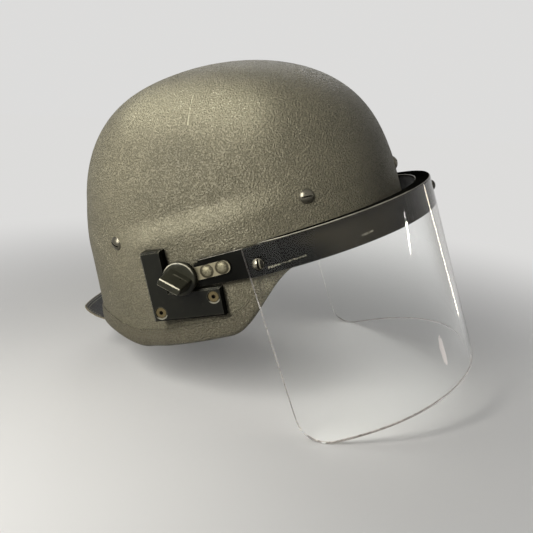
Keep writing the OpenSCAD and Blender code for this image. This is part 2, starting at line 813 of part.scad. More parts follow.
module bracket_nut() {
    difference() {
        union() {
            on_side($nut_y - nut_washer_t) cylinder(r = nut_washer_r, h = nut_washer_t);
            on_side($nut_y - nut_washer_t - nut_h) cylinder(r = nut_corner_r, h = nut_h, $fn = 6);
        }
        on_side(bore_y) cylinder(r = cap_shank_r + seat, h = bore_l);
    }
}

module right_bracket_nuts() {
    color([0.6, 0.6, 0.58])
    tipped() side(true) bracket_screw_places() bracket_nut();
}

module left_bracket_nuts() {
    color([0.6, 0.6, 0.58])
    tipped() side(false) bracket_screw_places() bracket_nut();
}

// Stud pressed into the boss from behind; the knob threads onto it
stud_tip_y = knob_foot_y + knob_h * 0.6;
module pivot_stud() {
    head_y = stud_back_y;
    at_pivot() {
        on_side(head_y) cylinder(r = stud_head_r, h = stud_head_t);
        on_side(head_y) cylinder(r = stud_r, h = stud_tip_y - head_y);
    }
}

module right_pivot_stud() {
    color([0.6, 0.6, 0.58])
    tipped() side(true) pivot_stud();
}

module left_pivot_stud() {
    color([0.6, 0.6, 0.58])
    tipped() side(false) pivot_stud();
}

washer_r = 8;
module friction_washer() {
    at_pivot() on_side(boss_face_y)
        difference() {
            cylinder(r = washer_r, h = washer_t);
            translate([0, 0, -1]) cylinder(r = stud_r + seat, h = washer_t + 2);
        }
}

module right_friction_washer() {
    color([0.75, 0.74, 0.7])
    tipped() side(true) friction_washer();
}

module left_friction_washer() {
    color([0.75, 0.74, 0.7])
    tipped() side(false) friction_washer();
}

// Outline of the lens seen from above, moved in by d
lens_front_x = shell_len / 2 + visor_reach;
lens_steps = 40;
function lens_point(q, d) = let(
    a = lens_front_x - lens_rear_x, b = lens_out_y,
    x = a * spow(cos(q), 2 / lens_n), y = b * spow(sin(q), 2 / lens_n),
    n = unit([spow(cos(q), 2 - 2 / lens_n) / a, spow(sin(q), 2 - 2 / lens_n) / b]))
    [lens_rear_x + x - n.x * d, y - n.y * d];
function lens_curve(d) = [for (i = [-lens_steps:lens_steps]) lens_point(90 * i / lens_steps, d)];
function reversed(list) = [for (i = [len(list) - 1:-1:0]) list[i]];

// Side outline of the lens: square at the top, round at the lower rear corners
module lens_side() {
    low = band_top_z - lens_h;
    difference() {
        translate([lens_rear_x, low]) square([lens_front_x, lens_h]);
        translate([lens_rear_x, low]) difference() {
            translate([-1, -1]) square([lens_corner_r + 1, lens_corner_r + 1]);
            translate([lens_corner_r, lens_corner_r]) circle(r = lens_corner_r);
            translate([lens_corner_r, lens_corner_r]) circle(r = 0);
        }
    }
}

// Places of the lens screws: along Y at the sides and along X in front
lens_screw_x = lens_rear_x + 9;
module at_lens_screws() {
    for (right = [false, true])
        side(right) translate([lens_screw_x, lens_out_y, band_top_z - lens_screw_drop])
            rotate([0, 0, 90]) rotate([0, 90, 0]) children();
    translate([lens_front_x, 0, band_top_z - front_screw_drop]) rotate([0, 90, 0]) children();
}
barrel_r = 2.9;

module visor_lens() {
    color([0.85, 0.9, 0.9, 0.35])
    tipped()
    difference() {
        intersection() {
            translate([0, 0, band_top_z - lens_h - 1]) linear_extrude(lens_h + 1)
                polygon(concat(lens_curve(0), reversed(lens_curve(lens_t))));
            rotate([90, 0, 0]) translate([0, 0, -far / 2]) linear_extrude(far) lens_side();
        }
        at_lens_screws()
            translate([0, 0, -20]) cylinder(r = barrel_r + seat, h = 40);
    }
}

// The band's side outline: it narrows to the rear, with a small notch on top
band_rear_x = pivot_x + 12;
band_rear_rise = 3;
band_low_z = band_top_z - band_h;
module band_side() {
    polygon([
        [band_rear_x, band_top_z - 2.2], [band_rear_x + 3, band_top_z - 2.2],
        [band_rear_x + 5, band_top_z], [lens_front_x, band_top_z], [lens_front_x, band_low_z],
        [lens_rear_x + 4, band_low_z], [band_rear_x, band_low_z + band_rear_rise]]);
}
function flange_width(q) = lens_t + band_t
    + (flange_side + (flange_front - flange_side) * fade((70 - abs(q)) / 50))
    * fade((86 - abs(q)) / 12);
flange_curve = [for (i = [-lens_steps:lens_steps]) let(q = 90 * i / lens_steps)
    lens_point(q, flange_width(q))];
// Outer edge of the flange's lap over the top of the lens
cap_curve = [for (i = [-lens_steps:lens_steps]) let(q = 90 * i / lens_steps)
    lens_point(q, 0.3 + (lens_t + band_t / 2 - 0.6) * fade((abs(q) - 78) / 10))];
// The wall carries on straight behind the lens
function band_curve(d) = concat(
    [[band_rear_x, -lens_out_y + d]], lens_curve(d), [[band_rear_x, lens_out_y - d]]);

module brow_band() {
    color([0.04, 0.04, 0.04])
    tipped()
    difference() {
        union() {
            intersection() {
                translate([0, 0, band_low_z]) linear_extrude(band_h)
                    polygon(concat(band_curve(lens_t), reversed(band_curve(lens_t + band_t))));
                rotate([90, 0, 0]) translate([0, 0, -far / 2]) linear_extrude(far) band_side();
            }
            translate([0, 0, band_top_z - flange_t / 2]) linear_extrude(flange_t)
                polygon(concat(lens_curve(lens_t + band_t / 2), reversed(flange_curve)));
            translate([0, 0, band_top_z + seat]) linear_extrude(flange_t / 2 - seat)
                polygon(concat(cap_curve, reversed(lens_curve(lens_t + band_t / 2 + 0.2))));
        }
        at_lens_screws() {
            translate([0, 0, -20]) cylinder(r = barrel_r + seat, h = 40);
            translate([0, 0, -lens_t - band_t - 8]) cylinder(r = barrel_r + 2.3, h = 8);
        }
        for (right = [false, true])
            side(right) at_rivets() on_side(bore_y) cylinder(r = rivet_r + seat, h = bore_l);
    }
}

lens_head_h = 2.4;
module lens_screws() {
    color([0.3, 0.3, 0.3])
    tipped()
    at_lens_screws()
        rotate([0, 0, 12]) slotted_screw(lens_screw_head_r, lens_head_h, lens_screw_r, lens_t + band_t);
}

// Flanged barrels that the lens screws thread into, from inside the band
lens_nut_flange_t = 1;
module lens_nuts() {
    color([0.55, 0.55, 0.55])
    tipped()
    at_lens_screws()
        rotate_extrude()
            polygon([
                [lens_screw_r + seat, -0.3], [barrel_r, -0.3],
                [barrel_r, -lens_t - band_t], [barrel_r + 2.2, -lens_t - band_t],
                [barrel_r + 1.8, -lens_t - band_t - lens_nut_flange_t],
                [lens_screw_r + seat, -lens_t - band_t - lens_nut_flange_t]]);
}

rivet_r = 1.6;
rivet_head_h = 1.6;
rivet_dome_r = (rivet_head_r * rivet_head_r + rivet_head_h * rivet_head_h) / (2 * rivet_head_h);
module at_rivets() {
    for (i = [0, 1])
        translate([pivot_x + rivet_first + rivet_pitch * i, 0, pivot_z]) children();
}

module arm() {
    difference() {
        at_pivot() on_side(band_out_y) linear_extrude(arm_t) {
            circle(r = arm_w / 2 + 2);
            translate([0, -arm_w / 2]) square([arm_reach - arm_w / 2, arm_w]);
            translate([arm_reach - arm_w / 2, 0]) circle(r = arm_w / 2);
        }
        at_pivot() on_side(bore_y) cylinder(r = stud_r + seat, h = bore_l);
        at_rivets() on_side(bore_y) cylinder(r = rivet_r + seat, h = bore_l);
    }
}

module right_arm() {
    color([0.75, 0.75, 0.73])
    tipped() side(true) arm();
}

module left_arm() {
    color([0.75, 0.75, 0.73])
    tipped() side(false) arm();
}

// Round-head rivets with a flat set head inside the band
module arm_rivets() {
    at_rivets() {
        on_side(arm_out_y) rotate_extrude()
            intersection() {
                translate([0, rivet_head_h - rivet_dome_r]) circle(r = rivet_dome_r);
                square([rivet_head_r, rivet_head_h]);
            }
        on_side(band_in_y - 0.7) cylinder(r = rivet_r, h = arm_out_y + 0.3 - band_in_y + 0.7);
        on_side(band_in_y - 0.7) cylinder(r = rivet_r + 1.1, h = 0.7);
    }
}

module right_arm_rivets() {
    color([0.7, 0.7, 0.68])
    tipped() side(true) arm_rivets();
}

module left_arm_rivets() {
    color([0.7, 0.7, 0.68])
    tipped() side(false) arm_rivets();
}

insert_r = 4;
insert_l = 9;
module knob() {
    at_pivot() {
        difference() {
            union() {
                on_side(knob_foot_y) rotate_extrude($fn = 64)
                    polygon([
                        [0, 0], [knob_r - 0.6, 0], [knob_r, 0.6], [knob_r, knob_skirt_h - 1.2],
                        [knob_r - 0.4, knob_skirt_h - 0.4], [knob_r - 1.3, knob_skirt_h], [0, knob_skirt_h]]);
                rotate([0, grip_angle, 0]) grip_bar();
            }
            on_side(knob_foot_y - 1) cylinder(r = insert_r, h = insert_l + 1);
            on_side(knob_foot_y - 1) cylinder(r = stud_r + 0.3, h = stud_tip_y - knob_foot_y + 2);
        }
    }
}
// Tapered grip with eased edges
module grip_bar() {
    crest_len = grip_len - 1;
    top = knob_foot_y + knob_h;
    hull() {
        translate([-grip_len / 2, knob_foot_y + 1, -grip_foot_t / 2])
            cube([grip_len, knob_skirt_h, grip_foot_t]);
        translate([-crest_len / 2, top - 1.4, -grip_crest_t / 2])
            cube([crest_len, 0.4, grip_crest_t]);
        translate([-crest_len / 2 + 0.9, top - 0.4, -grip_crest_t / 2 + 0.9])
            cube([crest_len - 1.8, 0.4, grip_crest_t - 1.8]);
    }
}

module right_knob() {
    color([0.08, 0.08, 0.08])
    tipped() side(true) knob();
}

module left_knob() {
    color([0.08, 0.08, 0.08])
    tipped() side(false) knob();
}

module knob_insert() {
    at_pivot() on_side(knob_foot_y)
        difference() {
            cylinder(r = insert_r - seat, h = insert_l);
            translate([0, 0, -1]) cylinder(r = stud_r + seat, h = insert_l + 2);
        }
}

module right_knob_insert() {
    color([0.78, 0.62, 0.3])
    tipped() side(true) knob_insert();
}

module left_knob_insert() {
    color([0.78, 0.62, 0.3])
    tipped() side(false) knob_insert();
}

shell();
edge_trim();
suspension_screws();
suspension_posts();
web_eyelets();
suspension_web();
crown_straps();
headband();
headband_clips();
right_chin_strap();
left_chin_strap();
strap_slides();
buckle_socket();
buckle_prong();
chin_pad();
nape_pad();
nape_pad_fastener();
right_bracket();
left_bracket();
right_bracket_screws();
left_bracket_screws();
right_bracket_nuts();
left_bracket_nuts();
right_pivot_stud();
left_pivot_stud();
right_friction_washer();
left_friction_washer();
brow_band();
visor_lens();
lens_screws();
lens_nuts();
right_arm();
left_arm();
right_arm_rivets();
left_arm_rivets();
right_knob();
left_knob();
right_knob_insert();
left_knob_insert();
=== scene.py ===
import json
import math
import bpy
import bmesh
import numpy as np
from mathutils import Matrix, Vector

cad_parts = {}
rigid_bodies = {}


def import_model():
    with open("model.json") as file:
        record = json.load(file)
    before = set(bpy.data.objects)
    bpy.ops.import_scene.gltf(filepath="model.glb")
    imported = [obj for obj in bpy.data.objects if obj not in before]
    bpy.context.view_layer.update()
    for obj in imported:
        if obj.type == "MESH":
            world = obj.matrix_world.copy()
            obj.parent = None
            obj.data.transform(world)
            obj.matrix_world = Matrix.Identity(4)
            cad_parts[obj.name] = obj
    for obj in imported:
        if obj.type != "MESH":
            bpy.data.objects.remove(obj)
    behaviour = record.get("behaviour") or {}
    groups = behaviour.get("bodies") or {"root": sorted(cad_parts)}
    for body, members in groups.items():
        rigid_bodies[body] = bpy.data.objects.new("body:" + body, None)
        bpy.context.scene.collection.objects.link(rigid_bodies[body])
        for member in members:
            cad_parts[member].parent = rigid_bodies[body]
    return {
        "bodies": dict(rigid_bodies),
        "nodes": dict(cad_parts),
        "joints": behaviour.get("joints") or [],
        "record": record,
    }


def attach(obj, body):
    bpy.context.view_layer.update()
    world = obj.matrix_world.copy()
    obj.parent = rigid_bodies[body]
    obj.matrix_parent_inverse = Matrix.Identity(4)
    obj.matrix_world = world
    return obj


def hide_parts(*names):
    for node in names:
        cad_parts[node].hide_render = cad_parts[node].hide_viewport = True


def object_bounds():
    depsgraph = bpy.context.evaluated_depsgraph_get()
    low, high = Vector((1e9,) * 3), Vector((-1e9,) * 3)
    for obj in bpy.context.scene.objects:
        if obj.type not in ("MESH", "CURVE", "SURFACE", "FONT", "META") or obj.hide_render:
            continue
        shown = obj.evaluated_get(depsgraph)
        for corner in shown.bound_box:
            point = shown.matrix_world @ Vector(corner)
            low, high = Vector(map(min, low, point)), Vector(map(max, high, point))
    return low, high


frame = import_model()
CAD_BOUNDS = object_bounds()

SCENE = bpy.context.scene

# Frame
# Lengths are in millimetres on the level helmet (+X face, +Y wearer's left, +Z up)
# and P() tips them back to rest, in metres.
TILT = math.radians(20.7)


def P(p):
    p = np.asarray(p, float)
    c, s = math.cos(TILT), math.sin(TILT)
    return np.stack([p[..., 0] * c - p[..., 2] * s, p[..., 1],
                     p[..., 0] * s + p[..., 2] * c], -1) / 1000.0


# Camera
CAM_AT, CAM_TARGET, CAM_ROLL = Vector((.1194, -.4907, .1123)), Vector((.01755, 0, -.03622)), 3.3
PHOTO_SIDE_PX, FOCAL_PX, SENSOR = 533, 545.4, 36


def place(name, data):
    """A new object of this data, in the scene."""
    ob = bpy.data.objects.new(name, data)
    SCENE.collection.objects.link(ob)
    return ob


def place_camera():
    back = (CAM_AT - CAM_TARGET).normalized()
    r0 = Vector((0, 0, 1)).cross(back).normalized()
    u0 = back.cross(r0)
    a = math.radians(CAM_ROLL)
    right = math.cos(a) * r0 + math.sin(a) * u0
    up = -math.sin(a) * r0 + math.cos(a) * u0
    cam = bpy.data.cameras.new("camera")
    m = Matrix((right, up, back)).transposed().to_4x4()
    m.translation = CAM_AT
    SCENE.camera = place("camera", cam)
    SCENE.camera.matrix_world = m
    cam.sensor_width = SENSOR
    cam.lens = FOCAL_PX / PHOTO_SIDE_PX * SENSOR
    cam.clip_start = .01


place_camera()


# Shell form
SHELL_LEN, SHELL_W, SPRING_Z, CROWN_H, SHELL_T = 284.0, 237.0, 25.0, 124.0, 8.5
PLAN_N, CROWN_LEAN = 2.12, 10.0
BROW_Z, EAR_Z, EAR_OUT = -19.7, -58.9, 3.5
LEDGE_Z, LEDGE_SOFT = 33.0, 16.0
NAPE_OUT, NAPE_RISE, BROW_OUT = 20.4, 20.0, 2.0
TRIM_H, TRIM_T, SLACK = 13.5, 1.0, .35
SEAT = .05

# Visor sizes
BAND_IN = SHELL_W / 2 + EAR_OUT + 1.4
BAND_T, LENS_T = 2.5, 3.8
BAND_OUT = BAND_IN + BAND_T
LENS_OUT = BAND_OUT + LENS_T
LENS_FRONT, LENS_REAR, LENS_N = SHELL_LEN / 2 + 26, 28.0, 2.17
BAND_TOP, BAND_H, LENS_H, CORNER_R = 3.5, 23.0, 162.0, 24.0
FLANGE_T, FLANGE_IN, FLANGE_MORE, BAND_STEP = 2.2, 3.5, 3.0, 2.2
PIVOT = np.array([-24.0, 0, -6.0])
BAND_REAR = PIVOT[0] + 12
ARM_OUT = BAND_OUT + 2
KNOB_FOOT = ARM_OUT + .4
KNOB_R, SKIRT_H = 13.0, 4.0
GRIP_TURN, GRIP_LEN, GRIP_FOOT, GRIP_CREST, GRIP_LOW, GRIP_HIGH = 43, 19, 11, 5.6, 2.0, 22.0


def fade(t):
    u = np.clip(t, 0, 1)
    return u * u * (3 - 2 * u)


def spow(c, e):
    return np.sign(c) * np.abs(c) ** e


def sind(a):
    return np.sin(np.radians(a))


def cosd(a):
    return np.cos(np.radians(a))


def unit(v):
    v = np.asarray(v, float)
    return v / np.maximum(np.linalg.norm(v, axis=-1, keepdims=True), 1e-12)


def arc_length(line):
    """How far along the line each of its points is."""
    return np.concatenate([[0], np.cumsum(np.linalg.norm(np.diff(line, axis=0), axis=1))])


def along(q, s, line):
    """The line's points at the lengths q, where s holds each point's own length."""
    return np.stack([np.interp(q, s, line[:, k]) for k in range(line.shape[1])], -1)


def tangents(p):
    return unit(np.concatenate([p[1:2] - p[:1], p[2:] - p[:-2], p[-1:] - p[-2:-1]]))


def ring_normals(line):
    """Outward level directions of a closed plan line, as [n, 3]."""
    tan = unit(np.roll(line, -1, 0) - np.roll(line, 1, 0))
    return np.stack([tan[:, 1], -tan[:, 0], np.zeros(len(line))], -1)


def side_frame(sgn, y, turn=0.0):
    """Origin at the pivot on the side plane y, +Z out; turned nose down."""
    a = math.radians(turn)
    ex = np.array([math.cos(a), 0, -math.sin(a)])
    ey = np.array([math.sin(a), 0, math.cos(a)])
    return (np.array([PIVOT[0], sgn * y, PIVOT[2]]), ex, ey, np.array([0, sgn, 0]))


def plan_x(th):
    return SHELL_LEN / 2 * spow(cosd(th), 2 / PLAN_N)


def plan_y(th):
    return SHELL_W / 2 * spow(sind(th), 2 / PLAN_N)


def plan_normal(th):
    e = 2 - 2 / PLAN_N
    x, y = spow(cosd(th), e) / SHELL_LEN, spow(sind(th), e) / SHELL_W
    return unit(np.stack([x, y, np.zeros_like(x)], -1))


def angle_at(x):
    return np.degrees(np.arccos(np.clip(spow(2 * np.asarray(x, float) / SHELL_LEN, PLAN_N / 2), -1, 1)))


def rim_z(x):
    s = 2 * x / SHELL_LEN
    return (BROW_Z + (EAR_Z - BROW_Z) * fade((.43 - s) / .443)
            - 5.2 * fade((s - .67) / .32) + NAPE_RISE * fade((-.558 - s) / .35))


def flare(x, z):
    s = 2 * x / SHELL_LEN
    ear = (EAR_OUT * fade((LEDGE_Z + LEDGE_SOFT / 2 - z) / LEDGE_SOFT)
           * fade((s + .56) / .16) * fade((.5 - s) / .25))
    nape = (NAPE_OUT * fade((-.377 - s) / .68)
            * np.maximum(0, (68 - z) / (68 - EAR_Z + 1.6)) ** 1.17)
    brow = BROW_OUT * fade((s - .55) / .3) * fade((BROW_Z + 14 - z) / 24)
    return ear + nape + brow


def skin(th, v):
    th, v = np.broadcast_arrays(np.asarray(th, float), np.asarray(v, float))
    r = (1 - cosd(th)) / 2
    ph = 90 * np.minimum(1, v)
    rho = np.maximum(0, sind(ph)) ** (2 / (1.884 + (2.828 - 1.884) * r))
    rise = np.maximum(0, cosd(ph)) ** (2 / (2.736 + (1.597 - 2.736) * r))
    x = plan_x(th)
    z = SPRING_Z + CROWN_H * rise + (rim_z(x) - SPRING_Z) * np.maximum(0, v - 1)
    n = plan_normal(th)
    f = flare(x * rho, z) * np.minimum(1, 3 * rho)
    return np.stack([x * rho - CROWN_LEAN * rise + n[..., 0] * f,
                     plan_y(th) * rho + n[..., 1] * f, z], -1)


def skin_normal(th, v):
    th, v = np.broadcast_arrays(np.asarray(th, float), np.asarray(v, float))
    v = np.maximum(v, .012)
    a = skin(th + 1, v) - skin(th - 1, v)
    b = skin(th, v + .01) - skin(th, v - .01)
    return unit(np.cross(b, a))


def below(th, v, d):
    return skin(th, v) - np.asarray(d)[..., None] * skin_normal(th, v)


def v_at(th, z):
    return 1 + (SPRING_Z - z) / (SPRING_Z - rim_z(plan_x(th)))


def trim_v(th):
    return v_at(th, rim_z(plan_x(th)) + TRIM_H)


# Mesh building
class Build:
    """Collects grids and solids of one piece; UVs are in metres along the surface."""

    def __init__(self):
        self.v, self.f, self.uv, self.m, self.n = [], [], [], [], 0

    def points(self, pts):
        pts = np.asarray(pts, float).reshape(-1, 3)
        self.v.append(pts)
        self.n += len(pts)
        return self.n - len(pts)

    def grid(self, pts, wrap=False, wrap_rows=False, mat=0, flip=False, u=None):
        pts = np.asarray(pts, float)
        R, C = pts.shape[:2]
        base = self.points(pts)
        if u is None:
            step = np.linalg.norm(np.roll(pts, -1, 1) - pts, axis=-1).max(0)
            u = np.concatenate([[0], np.cumsum(step)])
        step = np.linalg.norm(np.roll(pts, -1, 0) - pts, axis=-1).mean(1)
        v = np.concatenate([[0], np.cumsum(step)])
        for i in range(R if wrap_rows else R - 1):
            i2 = (i + 1) % R
            for j in range(C if wrap else C - 1):
                j2 = (j + 1) % C
                q = [base + i * C + j, base + i * C + j2, base + i2 * C + j2, base + i2 * C + j]
                t = [(u[j], v[i]), (u[j + 1], v[i]), (u[j + 1], v[i + 1]), (u[j], v[i + 1])]
                if flip:
                    q, t = q[::-1], t[::-1]
                self.f.append(q)
                self.uv.append(t)
                self.m.append(mat)
        return base

    def face(self, ids, mat=0):
        self.f.append(list(ids))
        self.uv.append([(0, 0)] * len(ids))
        self.m.append(mat)

    def fan(self, tip, base, count, mat=0, flip=False):
        """Triangles from one new point to a ring of count points."""
        top = self.points([tip])
        for i in range(count):
            a, c = base + i, base + (i + 1) % count
            self.face([top, c, a] if flip else [top, a, c], mat)

    def tube(self, rings, wrap_rows=False, mat=0, u=None, cap_mat=None):
        """A closed section swept along; rings is [along, around, 3]."""
        rings = np.asarray(rings, float)
        R, C = rings.shape[:2]
        base = self.grid(rings, wrap=True, wrap_rows=wrap_rows, mat=mat, u=u)
        if not wrap_rows:
            cap = mat if cap_mat is None else cap_mat
            self.face(list(range(base + C - 1, base - 1, -1)), cap)
            self.face([base + (R - 1) * C + i for i in range(C)], cap)

    def rbox(self, a, b, r, f, k=3, mids=(0, 0, 0)):
        """A block with rounded edges between two corners, its points mapped by f."""
        lo, hi = np.minimum(a, b).astype(float), np.maximum(a, b).astype(float)
        c, h = (lo + hi) / 2, (hi - lo) / 2
        r = min(r, *(h - 1e-3))
        axes = []
        for a in range(3):
            d = list(np.linspace(-1, 0, k))
            e = [(-(h[a] - r), x) for x in d]
            e += [(x, 0) for x in np.linspace(-(h[a] - r), h[a] - r, mids[a] + 2)[1:-1]]
            e += [(h[a] - r, -x) for x in d[::-1]]
            axes.append(np.array(e))
        for a in range(3):
            b, g = (a + 1) % 3, (a + 2) % 3
            for s in (-1, 1):
                eb, eg = axes[b], axes[g]
                pts = np.zeros((len(eb), len(eg), 3))
                d = np.zeros_like(pts)
                d[..., a] = s
                d[..., b] = eb[:, None, 1]
                d[..., g] = eg[None, :, 1]
                pts[..., a] = s * (h[a] - r)
                pts[..., b] = eb[:, None, 0]
                pts[..., g] = eg[None, :, 0]
                self.grid(f(c + pts + r * unit(d)), flip=s > 0)

    def lathe(self, profile, frame, n):
        """profile is (radius, height); frame is (origin, x, y, z) unit vectors."""
        o, ex, ey, ez = [np.asarray(q, float) for q in frame]
        a = np.linspace(0, 2 * np.pi, n, endpoint=False)
        p = np.asarray(profile, float)
        ring = (o + p[:, None, 0, None] * (np.cos(a)[None, :, None] * ex + np.sin(a)[None, :, None] * ey)
                + p[:, None, 1, None] * ez)
        self.tube(ring)

    def make(self, name, mats, replaces=None, body="helmet", soft_angle=None):
        """The finished piece; mats names its materials, and the first is its slot where no other is given."""
        mats = mats.split()
        me = bpy.data.meshes.new(name)
        me.from_pydata(P(np.concatenate(self.v)).tolist(), [], self.f)
        lay = me.uv_layers.new(name="UVMap")
        flat = np.array([c for f in self.uv for c in f], float) / 1000.0
        lay.data.foreach_set("uv", flat.ravel())
        me.polygons.foreach_set("material_index", self.m)
        me.polygons.foreach_set("use_smooth", [True] * len(me.polygons))
        me.update()
        bm = bmesh.new()
        bm.from_mesh(me)
        bmesh.ops.remove_doubles(bm, verts=bm.verts, dist=1e-6)
        bmesh.ops.dissolve_degenerate(bm, edges=bm.edges, dist=1e-8)
        bmesh.ops.recalc_face_normals(bm, faces=bm.faces)
        bm.to_mesh(me)
        bm.free()
        if soft_angle:
            me.set_sharp_from_angle(angle=math.radians(soft_angle))
        for m in mats:
            me.materials.append(M[m])
        ob = place(name, me)
        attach(ob, body)
        if replaces:
            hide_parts(replaces)
        return ob


def ease(ob, width, segments, angle):
    """Rounds the piece's edges that are sharper than angle."""
    bev = ob.modifiers.new("ease", "BEVEL")
    bev.width = width
    bev.segments = segments
    bev.limit_method = "ANGLE"
    bev.angle_limit = math.radians(angle)


def strap_section(w, t, edge=None, n=7):
    """Across and up offsets of a flat strap with rounded edges, going round."""
    e = t / 2 if edge is None else edge
    a = np.linspace(-w / 2 + e, w / 2 - e, n)
    q = np.radians([90, 45, 0, -45, -90])
    pts = [(x, t / 2) for x in a]
    pts += [(w / 2 - e + e * math.cos(x), t / 2 * math.sin(x)) for x in q[1:-1]]
    pts += [(x, -t / 2) for x in a[::-1]]
    pts += [(-w / 2 + e - e * math.cos(x), t / 2 * math.sin(x)) for x in q[::-1][1:-1]]
    pts = np.array(pts)
    u = pts[:, 0] + w / 2
    return pts, np.concatenate([u, u[:1]])


def sweep(path, across, up, sec):
    path, across, up = [np.asarray(q, float)[:, None, :] for q in (path, across, up)]
    s = sec[None, :, :]
    return path + across * s[..., 0:1] + up * s[..., 1:2]


def stitches(b, line, up, length=2.6, gap=1.3, r=.32, mat=0):
    """Thread stitches laid along a line of points, standing a little proud."""
    line, up = np.asarray(line, float), np.asarray(up, float)
    s = arc_length(line)
    q = gap / 2
    while q + length <= s[-1]:
        a, c = along(q, s, line), along(q + length, s, line)
        d, n = unit(c - a), unit(along(q + length / 2, s, up))
        w = np.cross(d, n)
        rings = []
        for x, f, lift in ((0, .3, -.6), (.14, .8, -.1), (.5, 1, .25), (.86, .8, -.1), (1, .3, -.6)):
            o = a + (c - a) * x + n * (r * lift)
            rings.append([o + r * f * (math.cos(g) * w + math.sin(g) * n)
                          for g in np.radians([0, 60, 120, 180, 240, 300])])
        b.tube(rings, mat=mat)
        q += length + gap


def level(v):
    """Row metres back to millimetres on the level helmet."""
    v = np.asarray(v, float) * 1000
    c, s = math.cos(TILT), math.sin(TILT)
    return np.stack([v[..., 0] * c + v[..., 2] * s, v[..., 1], -v[..., 0] * s + v[..., 2] * c], -1)


def coords(me):
    v = np.empty(len(me.vertices) * 3)
    me.vertices.foreach_get("co", v)
    return v.reshape(-1, 3)


def near_any(p, line, reach):
    return np.array([np.min(np.linalg.norm(line - q, axis=1)) < reach for q in p])


PUFF_FRAMES, PUFF_PRESSURE = 20, 400


def puff(ob, voxel, cap, seam, reach):
    """Remeshes a padded piece and blows it up as cloth, held within reach of its seam.

    No point ends further than cap from its start.
    """
    def settled():
        return bpy.data.meshes.new_from_object(ob.evaluated_get(bpy.context.evaluated_depsgraph_get()))
    mats = list(ob.data.materials)
    rm = ob.modifiers.new("remesh", "REMESH")
    rm.mode = "VOXEL"
    rm.voxel_size = voxel
    me = settled()
    ob.modifiers.clear()
    me.materials.clear()
    me.name = ob.name
    for m in mats:
        me.materials.append(m)
    ob.data = me
    me.polygons.foreach_set("use_smooth", [True] * len(me.polygons))
    me.polygons.foreach_set("material_index", [0] * len(me.polygons))
    start = coords(me)
    cl = ob.modifiers.new("cloth", "CLOTH")
    st = cl.settings
    st.quality = 5
    st.mass = .1
    st.tension_stiffness = st.compression_stiffness = 8
    st.shear_stiffness = 4
    st.bending_stiffness = .3
    st.use_pressure = True
    st.uniform_pressure_force = PUFF_PRESSURE
    st.effector_weights.gravity = 0
    pin = ob.vertex_groups.new(name="seams")
    pin.add([int(i) for i in np.nonzero(near_any(level(start), seam, reach))[0]], 1.0, "REPLACE")
    st.vertex_group_mass = "seams"
    cl.point_cache.frame_start = 1
    cl.point_cache.frame_end = PUFF_FRAMES
    for f in range(1, PUFF_FRAMES + 1):
        SCENE.frame_set(f)
    got = coords(settled())
    ob.modifiers.clear()
    SCENE.frame_set(1)
    move = got - start
    far = np.linalg.norm(move, axis=1, keepdims=True)
    move *= np.minimum(1, cap / np.maximum(far, 1e-9))
    me.vertices.foreach_set("co", (start + move).ravel())
    me.update()
    print("PUFF", ob.name, len(me.vertices), "moved mm", round(float(far.max()) * 1000, 2),
          round(float(np.median(far)) * 1000, 2))
    sub = ob.modifiers.new("smooth", "SUBSURF")
    sub.levels = sub.render_levels = 1
    ob.data = settled()
    ob.modifiers.clear()


# Materials
def srgb(*c):
    return tuple((x / 255 / 12.92 if x <= 10.3 else ((x / 255 + .055) / 1.055) ** 2.4) for x in c) + (1,)


def scaled(c, k, add=0.0):
    return tuple(min(1, x * k + add) for x in c[:3]) + (1,)


SET_NAMES = dict(color="Base Color", rough="Roughness", metal="Metallic", ior="IOR", normal="Normal",
                 spec="Specular IOR Level", trans="Transmission Weight", sheen="Sheen Weight",
                 sheen_rough="Sheen Roughness")


